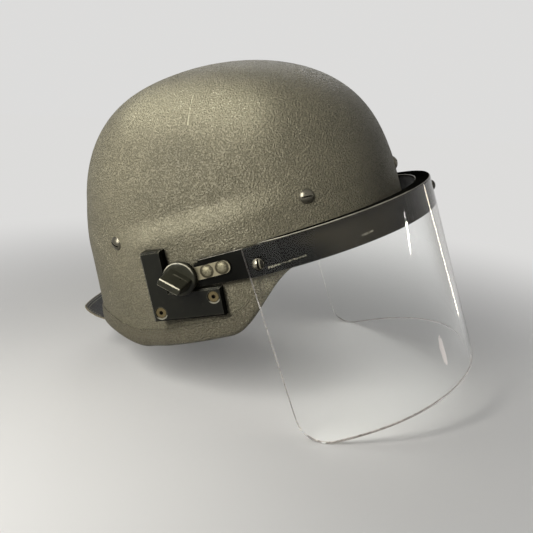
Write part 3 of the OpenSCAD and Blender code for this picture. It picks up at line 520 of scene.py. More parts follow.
class Nodes:
    """A node tree in a few short calls."""

    def __init__(self, tree):
        self.t = tree
        self.tc = None

    def put(self, socket, v):
        if isinstance(v, bpy.types.NodeSocket):
            self.t.links.new(v, socket)
        else:
            socket.default_value = v

    def node(self, kind, props=None, out=0, **ins):
        n = self.t.nodes.new("ShaderNode" + kind)
        for k, v in (props or {}).items():
            setattr(n, k, v)
        for k, v in ins.items():
            self.put(n.inputs[int(k[1:])] if k[0] == "i" and k[1:].isdigit() else n.inputs[k], v)
        return n.outputs[out]

    def seen(self):
        """1 for rays that reach the camera straight, by a mirror or through the lens."""
        rays = self.t.nodes.new("ShaderNodeLightPath").outputs
        return self.high(self.high(rays["Is Camera Ray"], rays["Is Glossy Ray"]), rays["Is Transmission Ray"])

    def coord(self, kind="Object"):
        if self.tc is None:
            self.tc = self.t.nodes.new("ShaderNodeTexCoord")
        return self.tc.outputs[kind]

    def level(self, kind="Object"):
        """Coordinates or normals on the level helmet; lengths are in metres."""
        return self.node("Mapping", i0=self.coord(kind), Rotation=(0, TILT, 0))

    def both(self, lev):
        """Level coordinates with the right side folded onto the left one."""
        return self.node("CombineXYZ", X=self.xyz(lev, 0), Y=self.math("ABSOLUTE", self.xyz(lev, 1)),
                         Z=self.xyz(lev, 2))

    def stretch(self, vec, s):
        return self.node("Mapping", i0=vec, Scale=s)

    def noise(self, scale, detail=2.0, rough=.5, distort=0.0, vec=None):
        return self.node("TexNoise", Vector=vec or self.coord(), Scale=scale, Detail=detail,
                         Roughness=rough, Distortion=distort)

    def voronoi(self, scale, feature="F1"):
        return self.node("TexVoronoi", {"feature": feature}, Vector=self.coord(), Scale=scale, Randomness=1.0)

    def math(self, op, a, b=0.0, clamp=False):
        return self.node("Math", {"operation": op, "use_clamp": clamp}, i0=a, i1=b)

    def mul(self, a, b):
        return self.math("MULTIPLY", a, b)

    def add(self, a, b):
        return self.math("ADD", a, b)

    def sub(self, a, b):
        return self.math("SUBTRACT", a, b)

    def high(self, a, b):
        return self.math("MAXIMUM", a, b)

    def low(self, a, b):
        return self.math("MINIMUM", a, b)

    def sine(self, a, k):
        return self.math("SINE", self.mul(a, k))

    def dot(self, a, b):
        return self.node("VectorMath", {"operation": "DOT_PRODUCT"}, out=1, i0=a, i1=b)

    def shut(self, reach):
        """Low where a surface is closed in by others within reach."""
        return self.node("AmbientOcclusion", {"samples": 4}, out=1, Distance=reach)

    def wobble(self, size, *noise):
        return self.mul(self.sub(self.noise(*noise), .5), size)

    def dust(self, c, amount, tint, scale=140):
        return self.mix(self.rng(self.noise(scale, 4, .65), .58, .8, 0, amount), c, tint)

    def patchy(self, lo, hi, *noise):
        return self.rng(self.noise(*noise), lo, hi)

    def rng(self, x, a, b, c=0.0, d=1.0, smooth=False):
        n = {"interpolation_type": "SMOOTHSTEP"} if smooth else {}
        return self.node("MapRange", n, Value=x, **{"From Min": a, "From Max": b, "To Min": c, "To Max": d})

    def mix(self, f, a, b):
        return self.node("Mix", {"data_type": "RGBA"}, 2, i0=f, i6=a, i7=b)

    def bump(self, height, dist, strength):
        return self.node("Bump", Height=height, Distance=dist, Strength=strength)

    def xyz(self, vec, k):
        return self.node("SeparateXYZ", out=k, i0=vec)

    def segment(self, vec, a, b):
        """Distance from the line between two level points, given in mm."""
        a, b = np.asarray(a, float) / 1000, np.asarray(b, float) / 1000
        ab = b - a
        q = self.node("VectorMath", {"operation": "SUBTRACT"}, i0=vec, i1=tuple(a))
        d = self.dot(q, tuple(ab / (ab @ ab)))
        near = self.node("VectorMath", {"operation": "MULTIPLY"}, i0=tuple(ab),
                         i1=self.math("MULTIPLY", d, 1.0, True))
        return self.node("VectorMath", {"operation": "DISTANCE"}, out=1, i0=q, i1=near)

    def axis(self, both, x, z):
        """Distance from the line across the helmet through a level x and z in mm."""
        return self.segment(both, (x, 90, z), (x, 160, z))

    def edge(self, radius, lo=.02, hi=.35):
        """1 along edges that stand out, 0 on flats."""
        bev = self.node("Bevel", {"samples": 4}, Radius=radius)
        geo = self.node("NewGeometry", out=1)
        return self.rng(self.sub(1.0, self.dot(bev, geo)), lo, hi)


M = {}


class Mat(Nodes):
    """A material whose tree starts with a principled shader; M keeps each by its name."""

    def __init__(self, name, **principled):
        self.m = M[name] = bpy.data.materials.new(name)
        self.m.use_nodes = True
        super().__init__(self.m.node_tree)
        self.t.nodes.clear()
        self.out = self.t.nodes.new("ShaderNodeOutputMaterial")
        self.b = self.t.nodes.new("ShaderNodeBsdfPrincipled")
        self.t.links.new(self.b.outputs[0], self.out.inputs[0])
        self.set(**principled)

    def set(self, **kw):
        for k, v in kw.items():
            self.put(self.b.inputs[SET_NAMES[k]], v)
        return self.m

    def moulding(self, c, grain, depth, lo, hi, **more):
        """Moulded plastic of colour c: fine grain, and roughness in patches from lo to hi."""
        h = self.add(self.noise(grain, 2, .5), self.mul(self.noise(120, 2), .6))
        return self.set(color=c, rough=self.rng(self.noise(85, 4, .6), .3, .7, lo, hi),
                        normal=self.bump(h, depth, .7), **more)

    def over(self, factor, shader):
        """Mixes another shader over the principled one."""
        mixed = self.node("MixShader", i0=factor, i1=self.b.outputs[0], i2=shader)
        self.t.links.new(mixed, self.out.inputs[0])
        return self.m


def paint(name, base, dark, light, marks_and_highlights=True):
    """Thick wrinkled paint: worm-like ridges, valleys darkened as painted shade, and bright specks that are
    partly rubbed high points and partly painted glints; on the shell also scratches, a painted highlight on
    the ear ledge and a painted sheen on the upper dome.
    """
    g = Mat(name, spec=.42)
    lev = g.level()
    big = g.noise(9, 3, .5)
    mid = g.noise(60, 3, .6)
    warp = g.noise(190, 2, .5)
    wrinkle = g.noise(960, 1.2, .5, .4, g.stretch(lev, (.85, .85, 1.15)))
    crease = g.rng(wrinkle, .38, .52, 0, 1, True)
    cell = g.voronoi(900, "SMOOTH_F1")
    fine = g.noise(1500, 2, .6)
    c = g.mix(g.rng(big, .32, .68), dark, base)
    c = g.mix(g.rng(mid, .45, .8, 0, .15), c, light)
    # painted shade: the wrinkle valleys darkened
    c = g.mix(g.rng(crease, 0, 1, .38, 0), c, scaled(dark, .5))
    c = g.mix(g.rng(fine, .5, .8, 0, .15), c, light)
    # painted shade where the surface is closed in by others, as at the edge moulding's lip
    shut = g.shut(.005)
    c = g.mix(g.rng(shut, .35, .85, .75, 0), c, srgb(26, 25, 20))
    # specks where the high points are rubbed bright, and painted glints among them, thickest in the painted
    # sheen
    spot = g.rng(g.voronoi(540), .34, .2)
    patch = g.rng(g.add(g.noise(26, 4, .7, .4), g.mul(warp, .2)), .66, .82)
    if marks_and_highlights:
        z, x = g.xyz(lev, 2), g.xyz(lev, 0)
        # painted highlight along the upper face of the ear ledge
        ledge = g.mul(g.rng(z, .019, .029, 0, 1, True), g.rng(z, .044, .034, 0, 1, True))
        ledge = g.mul(ledge, g.mul(g.rng(x, -.08, -.045), g.rng(x, .07, .02)))
        c = g.mix(g.mul(ledge, g.rng(mid, .3, .6, .3, .5)), c, srgb(178, 172, 146))
        # painted sheen on the upper dome, with more painted glints in it
        near = g.segment(lev, (-30, -74, 122), (48, -92, 98))
        c = g.mix(g.rng(near, .042, .0, 0, .65, True), c, srgb(180, 174, 147))
        patch = g.high(patch, g.mul(g.rng(near, .03, .006, 0, 1.1), g.rng(mid, .38, .6)))
    speck = g.math("MULTIPLY", spot, patch, True)
    c = g.mix(g.mul(speck, .8), c, srgb(222, 216, 188))
    scuff = g.noise(20, 5, .72, .6)
    long_marks = g.noise(60, 3, .6, .3, g.stretch(g.coord(), (1, 7, .3)))
    worn = g.mul(g.rng(scuff, .58, .72), g.rng(long_marks, .54, .7))
    c = g.mix(g.mul(worn, .25), c, light)
    h = g.add(crease, g.mul(cell, -.9))
    h = g.add(h, g.mul(fine, .3))
    if marks_and_highlights:
        wob = g.wobble(.0004, 700, 2)
        line = g.low(g.segment(lev, (13.8, -83.5, 118.7), (11.15, -92.5, 108.95)),
                     g.segment(lev, (11.15, -92.5, 108.95), (8.5, -100.5, 98.1)))
        scratch = g.rng(g.add(line, wob), .00078, .0003)
        wob2 = g.wobble(.005, 240, 2)
        line2 = g.add(g.segment(lev, (40, -34, 146), (62, -44, 141)), wob2)
        scratch = g.high(scratch, g.mul(g.rng(line2, .0022, .0004), .5))
        c = g.mix(g.mul(scratch, .92), c, srgb(218, 212, 182))
        h = g.add(h, g.mul(scratch, -.8))
    return g.set(color=c, rough=g.rng(crease, 0, 1, .7, .5), normal=g.bump(h, .0011, .95))


def plastic(name, base, rough, worn=None):
    g = Mat(name, spec=.5)
    c = g.mix(g.patchy(.3, .7, 40, 3, .6), base, scaled(base, 1.35, .002))
    if worn:
        c = g.mix(g.mul(g.mul(g.edge(.0012), g.patchy(.32, .55, 220, 3, .6)), .75), c, worn)
    c = g.dust(c, .14, srgb(120, 117, 104))
    return g.moulding(c, 900, .00008, rough - .07, rough + .1)


RIVETS = ((-2.3, PIVOT[2]), (9.7, PIVOT[2]))


def metal(name, base, rough, streak=None, worn=None, depth=.00006, dirt=.35, painted_shade_reach=None, rings=None):
    g = Mat(name, metal=1.0)
    vec = g.stretch(g.level(), streak) if streak else g.coord()
    s = g.noise(900, 3, .6, 0, vec)
    blot = g.noise(120, 4, .6)
    c = g.mix(g.rng(blot, .35, .7, 0, dirt), base, scaled(base, .45))
    if worn:
        e = g.mul(g.edge(.0006, .01, .2), g.patchy(.35, .6, 400, 2))
        c = g.mix(e, c, worn)
    if rings in ("rivet", "arm"):
        lev = g.level()
        both = g.both(lev)
        near = g.low(*(g.axis(both, x, z) for x, z in RIVETS))
        near = g.add(near, g.wobble(.0008, 500, 3))
        if rings == "rivet":
            # painted shade: each rivet head darker towards its rim
            c = g.mix(g.rng(near, .0028, .0045, 0, .75, True), c, srgb(40, 36, 27))
            c = g.mix(g.rng(near, .0012, .0, 0, .3), c, srgb(70, 66, 54))
            c = g.mix(g.rng(g.noise(620, 4, .7, .6), .46, .6, 0, .6), c, srgb(62, 58, 44))
        else:
            # painted shade round each rivet head on the arm
            c = g.mix(g.rng(near, .0058, .0047, 0, .85, True), c, srgb(34, 31, 23))
    if rings == "dome":
        # painted highlight on the side of the dome that faces the key lamp
        n = g.level("Normal")
        lit = g.dot(n, (-.62, -.25, .74))
        c = g.mix(g.rng(lit, .1, .6, 0, .85, True), c, srgb(176, 170, 150))
        # a painted slot: a dark band for the slot's shade, and a painted highlight on its edge
        flat = g.node("CombineXYZ", X=g.xyz(g.level(), 0), Z=g.xyz(g.level(), 2))
        slot = g.segment(flat, (37.9, 0, -6.5), (37.5, 0, -13.7))
        lip = g.segment(flat, (38.9, 0, -7.2), (38.6, 0, -12.8))
        c = g.mix(g.rng(lip, .0005, .0003, 0, .7), c, srgb(170, 164, 142))
        c = g.mix(g.rng(slot, .00062, .00045), c, srgb(14, 13, 10))
    # painted shade in slots, sockets and round heads, where the surface is closed in
    if painted_shade_reach:
        shut = g.shut(painted_shade_reach)
        c = g.mix(g.rng(shut, .55, .97), srgb(20, 18, 13), c)
    return g.set(color=c, rough=g.rng(g.add(s, blot), .7, 1.3, rough - .1, rough + .14),
                 normal=g.bump(s, depth, .6))


def webbing(name, base, dark, pitch):
    g = Mat(name, rough=.85, sheen=.25, sheen_rough=.5)
    uv = g.coord("UV")
    k = 2 * math.pi / (pitch / 1000)
    su = g.sine(g.xyz(uv, 0), k)
    sv = g.sine(g.xyz(uv, 1), k * .72)
    weave = g.mul(su, sv)
    rib = g.math("ABSOLUTE", g.sine(g.xyz(uv, 0), k / 4))
    fuzz = g.noise(2400, 2, .6)
    c = g.mix(g.rng(weave, -.8, .9), dark, base)
    c = g.mix(g.rng(g.noise(60, 3), .4, .7, 0, .35), c, dark)
    c = g.mix(g.rng(fuzz, .45, .8, 0, .25), c, scaled(base, 2, .01))
    h = g.add(g.mul(weave, .5), g.mul(rib, .5))
    h = g.add(h, g.mul(fuzz, .4))
    return g.set(color=c, normal=g.bump(h, .00022, .8))


def leather(name, base, light, rough=.5):
    g = Mat(name, spec=.4)
    cell = g.voronoi(650, "DISTANCE_TO_EDGE")
    crease = g.noise(130, 4, .65, .7)
    pore = g.noise(1800, 2, .5)
    c = g.mix(g.rng(crease, .35, .7), base, scaled(base, .55))
    rub = g.mul(g.edge(.0016, .02, .5), g.patchy(.35, .65, 160, 3))
    c = g.mix(g.mul(rub, .5), c, light)
    h = g.add(g.rng(cell, 0, .25), g.mul(crease, 1.2))
    h = g.add(h, g.mul(pore, .3))
    return g.set(color=c, rough=g.rng(crease, .3, .7, rough - .08, rough + .14),
                 normal=g.bump(h, .00022, .75))


def cloth(name, base, scale=1500):
    g = Mat(name, rough=.9, sheen=.4, sheen_rough=.4)
    a = g.noise(scale, 1, .5, 0, g.stretch(g.level(), (1, 1, .25)))
    b2 = g.noise(scale, 1, .5, 0, g.stretch(g.level(), (.25, .25, 1)))
    w = g.mul(a, b2)
    c = g.mix(g.rng(w, .15, .4), scaled(base, .5), base)
    c = g.mix(g.rng(g.noise(50, 3), .4, .7, 0, .3), c, scaled(base, 1.7, .01))
    return g.set(color=c, normal=g.bump(w, .0003, .8))


def hook_tape(name):
    g = Mat(name, rough=.95, sheen=.5)
    d = g.voronoi(1500)
    c = g.mix(g.rng(d, .1, .5), srgb(52, 52, 50), srgb(14, 14, 14))
    return g.set(color=c, normal=g.bump(g.add(d, g.noise(3000, 2)), .0006, .9))


def clear_lens(name):
    """Clear sheet: smears and hairlines on it, painted shade where it turns edge on; lamps shine through it.
    """
    g = Mat(name, trans=1.0, ior=1.22, spec=.5)
    lev = g.level()
    smear = g.noise(34, 5, .7, 1.2)
    hair = g.noise(300, 2, .5, 0, g.stretch(lev, (3, .15, .5)))
    r = g.add(g.rng(smear, .55, .8, .01, .07), g.rng(hair, .66, .74, 0, .04))
    # painted shade where the sheet turns edge on, on its lower part
    turn = g.node("LayerWeight", out=1, Blend=.5)
    edge_on_shade = g.mul(g.rng(turn, .5, .86, 0, 1, True), g.rng(g.xyz(lev, 2), -.125, -.085))
    g.set(rough=r, normal=g.bump(g.noise(7, 1), .0006, .25),
          color=g.mix(edge_on_shade, (.985, .99, .985, 1), (.5, .49, .46, 1)))
    shadow = g.t.nodes.new("ShaderNodeLightPath").outputs["Is Shadow Ray"]
    return g.over(shadow, g.node("BsdfTransparent", i0=(.96, .965, .96, 1)))


def frosted_edge(name):
    g = Mat(name, trans=.6, ior=1.4)
    c = g.mix(g.patchy(.35, .65, 260, 3), srgb(104, 92, 86), srgb(168, 158, 150))
    return g.set(color=c, rough=g.rng(g.noise(500, 3), .3, .7, .22, .42),
                 normal=g.bump(g.noise(700, 2), .0002, .6))


def glossy_band(name):
    """Black sheet: residue crumbs above its lower edge, faint smears, fine scratches, a duller top; painted
    highlights along its top edge and on its edges, and a painted brownish reflection on its front.
    """
    g = Mat(name)
    lev = g.level()
    z = g.xyz(lev, 2)
    nz = g.xyz(g.level("Normal"), 2)
    wall = g.rng(g.math("ABSOLUTE", nz), .35, .6, 1, 0)
    up = g.rng(nz, .5, .85)
    both = g.both(lev)
    line = g.low(g.segment(both, (43, 125.5, -14.8), (70, 121, -13.6)),
                 g.segment(both, (110, 104.7, -12.8), (117, 99.8, -12.4)))
    line = g.add(line, g.wobble(.0022, 240, 4, .7, .8))
    low = g.mul(g.rng(line, .0009, .0004), wall)
    low = g.mul(low, g.patchy(.44, .56, 820, 3, .7))
    # painted highlight: a glint line along the outer top edge
    glint = g.mul(g.rng(z, .0028, .0034), g.mul(g.rng(nz, .25, .4), g.rng(nz, .9, .8)))
    glint = g.mul(glint, g.rng(g.noise(38, 3, .6), .3, .62, .25, 1))
    ghost = g.mul(g.rng(g.noise(26, 4, .6), .6, .74, 0, .2), g.patchy(.3, .7, 420, 3))
    c = g.mix(g.patchy(.35, .7, 60, 4), srgb(10, 10, 8), srgb(19, 19, 16))
    # painted reflection: brownish patches on the front of the wall
    brown_reflection = g.noise(13, 2, .5, .5)
    front = g.mul(wall, g.rng(g.xyz(lev, 0), .03, .06))
    c = g.mix(g.mul(g.rng(brown_reflection, .42, .62, 0, .8), front), c, srgb(48, 44, 33))
    c = g.mix(g.mul(ghost, wall), c, srgb(84, 80, 66))
    c = g.mix(g.mul(low, .62), c, srgb(190, 184, 162))
    # painted highlight along the edges, broken up like wear
    rim = g.mul(g.edge(.0008, .01, .2), g.patchy(.3, .55, 300, 3))
    c = g.mix(g.mul(rim, .5), c, srgb(150, 145, 126))
    c = g.mix(g.mul(glint, .85), c, srgb(196, 190, 174))
    scr = g.noise(520, 2, .5, 0, g.stretch(lev, (.15, .15, 3)))
    r = g.add(g.rng(g.noise(75, 4, .6), .35, .75, .14, .28), g.mul(low, .4))
    h = g.add(scr, g.mul(g.noise(26, 2), 3.0))
    return g.set(color=c, rough=g.add(r, g.mul(up, .25)), normal=g.bump(h, .00003, .5),
                 spec=g.mul(g.rng(up, 0, 1, 1, 0), g.rng(g.xyz(lev, 0), .015, .06, .05, .22)))


CAPS = ((-49.16, -28.73), (-4.07, -25.81))


def bracket_plastic(name):
    """Black moulding: rubbed along its upper edges, where the wear also stands as painted highlight, painted
    highlights on the lower rims of the screw holes, and dead black painted shade on the faces that point
    forward or down.
    """
    g = Mat(name)
    lev = g.level()
    both = g.both(lev)
    n = g.level("Normal")
    nx, nz = g.xyz(n, 0), g.xyz(n, 2)
    # painted shade on the faces that point forward or down
    shade = g.high(g.rng(nx, .35, .7), g.rng(nz, -.3, -.6))
    # edge wear only on the upper edges, where it doubles as painted highlight
    top = g.rng(g.sub(nz, nx), -.15, .35)
    wear_and_highlight = g.mul(g.edge(.0015, .02, .3), g.patchy(.34, .55, 220, 3, .6))
    wear_and_highlight = g.mul(wear_and_highlight, top)
    # painted highlight on the lower rim of each screw hole
    rings = []
    for x, zz in CAPS:
        under = g.rng(g.sub(g.xyz(both, 2), zz / 1000), -.0022, -.0036)
        rings.append(g.mul(g.rng(g.axis(both, x, zz), .0055, .0052), under))
    c = g.mix(g.patchy(.3, .7, 40, 3, .6), srgb(16, 16, 12), srgb(24, 24, 18))
    c = g.dust(c, .08, srgb(110, 107, 92))
    c = g.mix(wear_and_highlight, c, srgb(150, 146, 126))
    c = g.mix(shade, c, srgb(7, 7, 5))
    c = g.mix(g.mul(g.high(*rings), .55), c, srgb(186, 182, 164))
    return g.moulding(c, 520, .00012, .3, .46, spec=g.rng(shade, 0, 1, .18, .02))


def knob_plastic(name):
    """Glossy black moulding with painted highlights, broken up like wear, along the grip's crest edges and on
    part of the rim, and a soft painted sheen across the grip's upper face.
    """
    g = Mat(name, spec=.2)
    lev = g.level()
    both = g.both(lev)
    mid, gx, gy, gz = side_frame(1, KNOB_FOOT + GRIP_HIGH + .7, GRIP_TURN)
    wob = g.wobble(.0007, 420, 3, .6)
    # painted highlights: both crest edges, an arc on the skirt's rim, and a soft painted sheen streak on the
    # grip's upper face
    crest = g.add(g.segment(both, mid - gx * 8 + gy * 2.45, mid + gx * 7.4 + gy * 2.45), wob)
    under = g.add(g.segment(both, mid - gx * 8 - gy * 2.45, mid + gx * 7.4 - gy * 2.45), wob)
    rub = g.segment(both, mid - gx * 2 + gy * 4.6 - gz * 12, mid + gx * 8 + gy * 4.4 - gz * 11)
    rub = g.add(rub, g.mul(wob, 3))
    side = g.dot(both, (.3, 0, .95))
    out = g.add(g.axis(both, PIVOT[0], PIVOT[2]), (.5 - KNOB_R) / 1000)
    rim = g.mul(g.rng(g.math("ABSOLUTE", out), .0007, .0003), g.rng(side, -.009, -.004))
    rim = g.mul(rim, g.mul(g.rng(g.xyz(both, 1), .1334, .1328), g.rng(g.xyz(both, 1), .1314, .132)))
    wear_and_highlight = g.high(g.rng(crest, .00075, .0004), g.mul(rim, .75))
    wear_and_highlight = g.high(wear_and_highlight, g.mul(g.rng(under, .0006, .0003), .2))
    rub = g.mul(g.rng(rub, .003, .0, 0, .5), g.rng(g.xyz(both, 1), .1385, .137))
    wear_and_highlight = g.high(wear_and_highlight, rub)
    wear_and_highlight = g.mul(wear_and_highlight, g.patchy(.3, .46, 330, 3, .6))
    c = g.mix(g.patchy(.3, .7, 40, 3, .6), srgb(33, 33, 26), srgb(50, 49, 39))
    c = g.dust(c, .16, srgb(120, 117, 100), 150)
    c = g.mix(wear_and_highlight, c, srgb(214, 208, 186))
    return g.moulding(c, 700, .00008, .26, .4)


def composite(name):
    """The bare moulded fibre inside the shell."""
    g = Mat(name, spec=.4)
    lev = g.level()
    k = 2 * math.pi / .006
    a = g.sine(g.add(g.xyz(lev, 0), g.xyz(lev, 2)), k)
    b2 = g.sine(g.sub(g.xyz(lev, 1), g.xyz(lev, 2)), k)
    w = g.mul(a, b2)
    c = g.mix(g.rng(w, -.6, .6), srgb(26, 25, 21), srgb(38, 37, 31))
    c = g.mix(g.rng(g.noise(24, 4), .4, .7, 0, .5), c, srgb(18, 18, 16))
    return g.set(color=c, rough=g.rng(g.noise(60, 3), .3, .7, .5, .7),
                 normal=g.bump(g.add(w, g.noise(800, 2)), .0002, .6))


paint("shell_paint", srgb(132, 126, 104), srgb(113, 108, 89), srgb(162, 156, 130))
paint("trim_paint", srgb(116, 110, 90), srgb(94, 89, 72), srgb(142, 136, 112), False)
composite("shell_inside")
metal("dark_screw", srgb(104, 100, 88), .36, worn=srgb(186, 180, 160), painted_shade_reach=.003)
metal("bright_screw", srgb(50, 48, 42), .26, worn=srgb(190, 184, 166), painted_shade_reach=.003, rings="dome")
metal("brass_post", srgb(176, 142, 86), .34)
metal("zinc", srgb(168, 167, 160), .38)
webbing("web_olive", srgb(96, 97, 78), srgb(58, 60, 47), 1.5)
leather("headband_leather", srgb(54, 40, 30), srgb(120, 96, 74))
plastic("black_moulding", srgb(20, 20, 19), .42, worn=srgb(92, 90, 84))
webbing("black_webbing", srgb(34, 34, 33), srgb(14, 14, 14), 1.2)
cloth("black_cloth", srgb(30, 30, 29))
leather("nape_leather", srgb(22, 20, 17), srgb(150, 144, 126), .4)
leather("raw_edge", srgb(134, 126, 106), srgb(186, 178, 154), .6)
hook_tape("hook_and_loop")
bracket_plastic("bracket_black")
metal("brassy_zinc", srgb(118, 106, 78), .42, dirt=.6, painted_shade_reach=.003)
plastic("white_nylon", srgb(206, 202, 188), .5)
glossy_band("band_black")
clear_lens("clear_lens")
frosted_edge("lens_edge")
metal("arm_aluminium", srgb(164, 156, 130), .42, (.12, 1, 1.6), srgb(206, 200, 176), dirt=.5, painted_shade_reach=.004,
      rings="arm")
metal("rivet_aluminium", srgb(152, 146, 122), .62, worn=srgb(186, 180, 158), depth=.0003, dirt=.7,
      rings="rivet")
knob_plastic("knob_black")
metal("knob_brass", srgb(190, 152, 84), .3)
cloth("thread_pale", srgb(176, 172, 156), 2600)
cloth("thread_dark", srgb(46, 45, 40), 2600)

CAD_FINISH = dict(
    suspension_screws="dark_screw", suspension_posts="brass_post", web_eyelets="zinc",
    headband_clips="black_moulding", lens_screws="bright_screw", lens_nuts="zinc")
SIDE_FINISH = dict(
    bracket="bracket_black", bracket_screws="brassy_zinc", bracket_nuts="zinc", pivot_stud="zinc",
    friction_washer="white_nylon", arm="arm_aluminium", arm_rivets="rivet_aluminium",
    knob_insert="knob_brass")
for side in ("right_", "left_"):
    CAD_FINISH.update({side + name: mat for name, mat in SIDE_FINISH.items()})
EASE = dict(right_bracket=.0011, left_bracket=.0011, right_arm=.0003, left_arm=.0003, headband_clips=.0002)
for name, mat in CAD_FINISH.items():
    ob = frame["nodes"][name]
    if not ob.material_slots:
        ob.data.materials.append(M[mat])
    for s in ob.material_slots:
        s.material = M[mat]
    if name in EASE:
        ease(ob, EASE[name], 3, 28)


# Shell
def make_shell():
    """Painted outside and bare inside, each a grid from the crown down, joined at the rim."""
    cols, dome, skirt = 300, 96, 34
    th = np.arange(cols) * 360 / cols
    vs = [(j / dome) ** 1.15 for j in range(1, dome + 1)] + [1 + j / skirt for j in range(1, skirt + 1)]
    crown = np.array([-CROWN_LEAN, 0, SPRING_Z + CROWN_H])
    b = Build()
    outer = b.grid([skin(th, v) for v in vs], wrap=True)
    b.fan(crown, outer, cols)
    inner = b.grid([below(th, v, SHELL_T) for v in vs], wrap=True, mat=1, flip=True)
    b.fan(crown - [0, 0, SHELL_T], inner, cols, 1, True)
    last = (len(vs) - 1) * cols
    for i in range(cols):
        k = (i + 1) % cols
        b.face([outer + last + i, inner + last + i, inner + last + k, outer + last + k], 1)
    b.make("shell_body", "shell_paint shell_inside", "shell", soft_angle=50)


make_shell()


def make_trim():
    """Edge moulding: a full, rounded channel whose upper lip feathers into the wall."""
    cols = 360
    th = np.arange(cols) * 360 / cols
    tv = trim_v(th)
    o1, n1 = skin(th, tv), skin_normal(th, tv)
    o2, n2 = skin(th, 2.0), skin_normal(th, 2.0)
    down = unit(o2 - o1)
    i1, i2 = o1 - n1 * SHELL_T, o2 - n2 * SHELL_T
    t, c = TRIM_T, SLACK * 1.5

    def side(o_top, n_top, sgn, profile):
        out = []
        for k, h in profile:
            o = o_top * (1 - k) + (o2 if sgn > 0 else i2) * k
            n = unit(n_top * (1 - k) + n2 * k)
            if sgn > 0:
                v = tv * (1 - k) + 2 * k
                o, n = skin(th, v), skin_normal(th, v)
            out.append(o + sgn * n * (h + (c if k > 0 or sgn < 0 else 0)))
        return out

    outer = side(o1, n1, 1, ((0, .06), (.004, .3), (.02, .52), (.05, .68), (.085, .74), (.12, .7), (.15, .64),
                             (.19, .68), (.25, .86), (.33, 1.06), (.43, 1.22), (.55, 1.32), (.67, 1.34),
                             (.78, 1.27), (.88, 1.1), (.95, .88), (1.0, .6)))
    inner = side(i1, n1, -1, ((0, .05), (0, .5), (.05, .8), (.12, .95), (.3, 1.0), (.6, 1.0), (.85, .95),
                              (.95, .8), (1.0, .55)))
    ring = outer + [o2 + n2 * (c + t * .1) + down * t * .62, o2 - n2 * t * .1 + down * (c + t * .78),
                    o2 - n2 * t * 1.1 + down * (c + t), (o2 + i2) / 2 + down * (c + t),
                    i2 + n2 * t * .8 + down * (c + t), i2 + n2 * t * .1 + down * (c + t * .75),
                    i2 - n2 * (c + t * .2) + down * t * .6]
    ring += inner[::-1]
    ring += [i2 - n2 * c * .9 + down * c * .9, o2 + n2 * c * .9 + down * c * .9]
    b = Build()
    b.tube(np.stack(ring, 1), wrap_rows=True)
    b.make("edge_moulding", "trim_paint", "edge_trim", soft_angle=60)


make_trim()

# Visor
def lens_point(q, d):
    q = np.asarray(q, float)
    a, bb = LENS_FRONT - LENS_REAR, LENS_OUT
    x, y = a * spow(cosd(q), 2 / LENS_N), bb * spow(sind(q), 2 / LENS_N)
    n = unit(np.stack([spow(cosd(q), 2 - 2 / LENS_N) / a, spow(sind(q), 2 - 2 / LENS_N) / bb], -1))
    d = np.asarray(d, float)
    return LENS_REAR + x - n[..., 0] * d, y - n[..., 1] * d


def lens_angles():
    """Even along the front, close together near the rear edges, where the corner is round."""
    x = np.concatenate([np.linspace(LENS_REAR, LENS_REAR + 26, 27)[1:], [60, 66, 73, 81, 90]])
    q = np.degrees(np.arccos(((x - LENS_REAR) / (LENS_FRONT - LENS_REAR)) ** (LENS_N / 2)))
    q = np.concatenate([[90], q])
    front = np.linspace(-q[-1], q[-1], 90)
    return np.concatenate([-q[:-1], front, q[:-1][::-1]])


def make_lens():
    """One closed section swept round: up the outer face, over the top, down the inner face and under."""
    q = lens_angles()
    low = BAND_TOP - LENS_H
    dx = np.clip(LENS_REAR + CORNER_R - lens_point(q, 0.0)[0], 0, CORNER_R)
    zl = low + CORNER_R - np.sqrt(np.maximum(0, CORNER_R ** 2 - dx ** 2))
    zl = np.minimum(zl, low + CORNER_R)
    soft, steps = .55, 28

    def line(depth, z):
        x, y = lens_point(q, depth)
        return np.stack([x, y, np.broadcast_to(z, x.shape)], -1)

    def face(depth, start, end):
        shares = np.linspace(start, end, steps)
        return [line(depth, (zl + soft) * (1 - s) + (BAND_TOP - soft) * s) for s in shares]

    rows = face(0.0, 0, 1) + [line(soft, BAND_TOP), line(LENS_T - soft, BAND_TOP)]
    rows += face(LENS_T, 1, 0) + [line(LENS_T - soft, zl), line(soft, zl)]
    b = Build()
    b.tube(np.stack(rows, 1))
    ob = b.make("face_shield_lens", "clear_lens lens_edge", "visor_lens", "visor", 40)
    # the lower and rear edges get the frosted finish
    for p in ob.data.polygons:
        n, at = level(p.normal) / 1000, level(p.center)
        if n[2] < -.5 or (n[0] < -.7 and at[0] < LENS_REAR + 1.5):
            p.material_index = 1
    ease(ob, .0005, 2, 50)


make_lens()


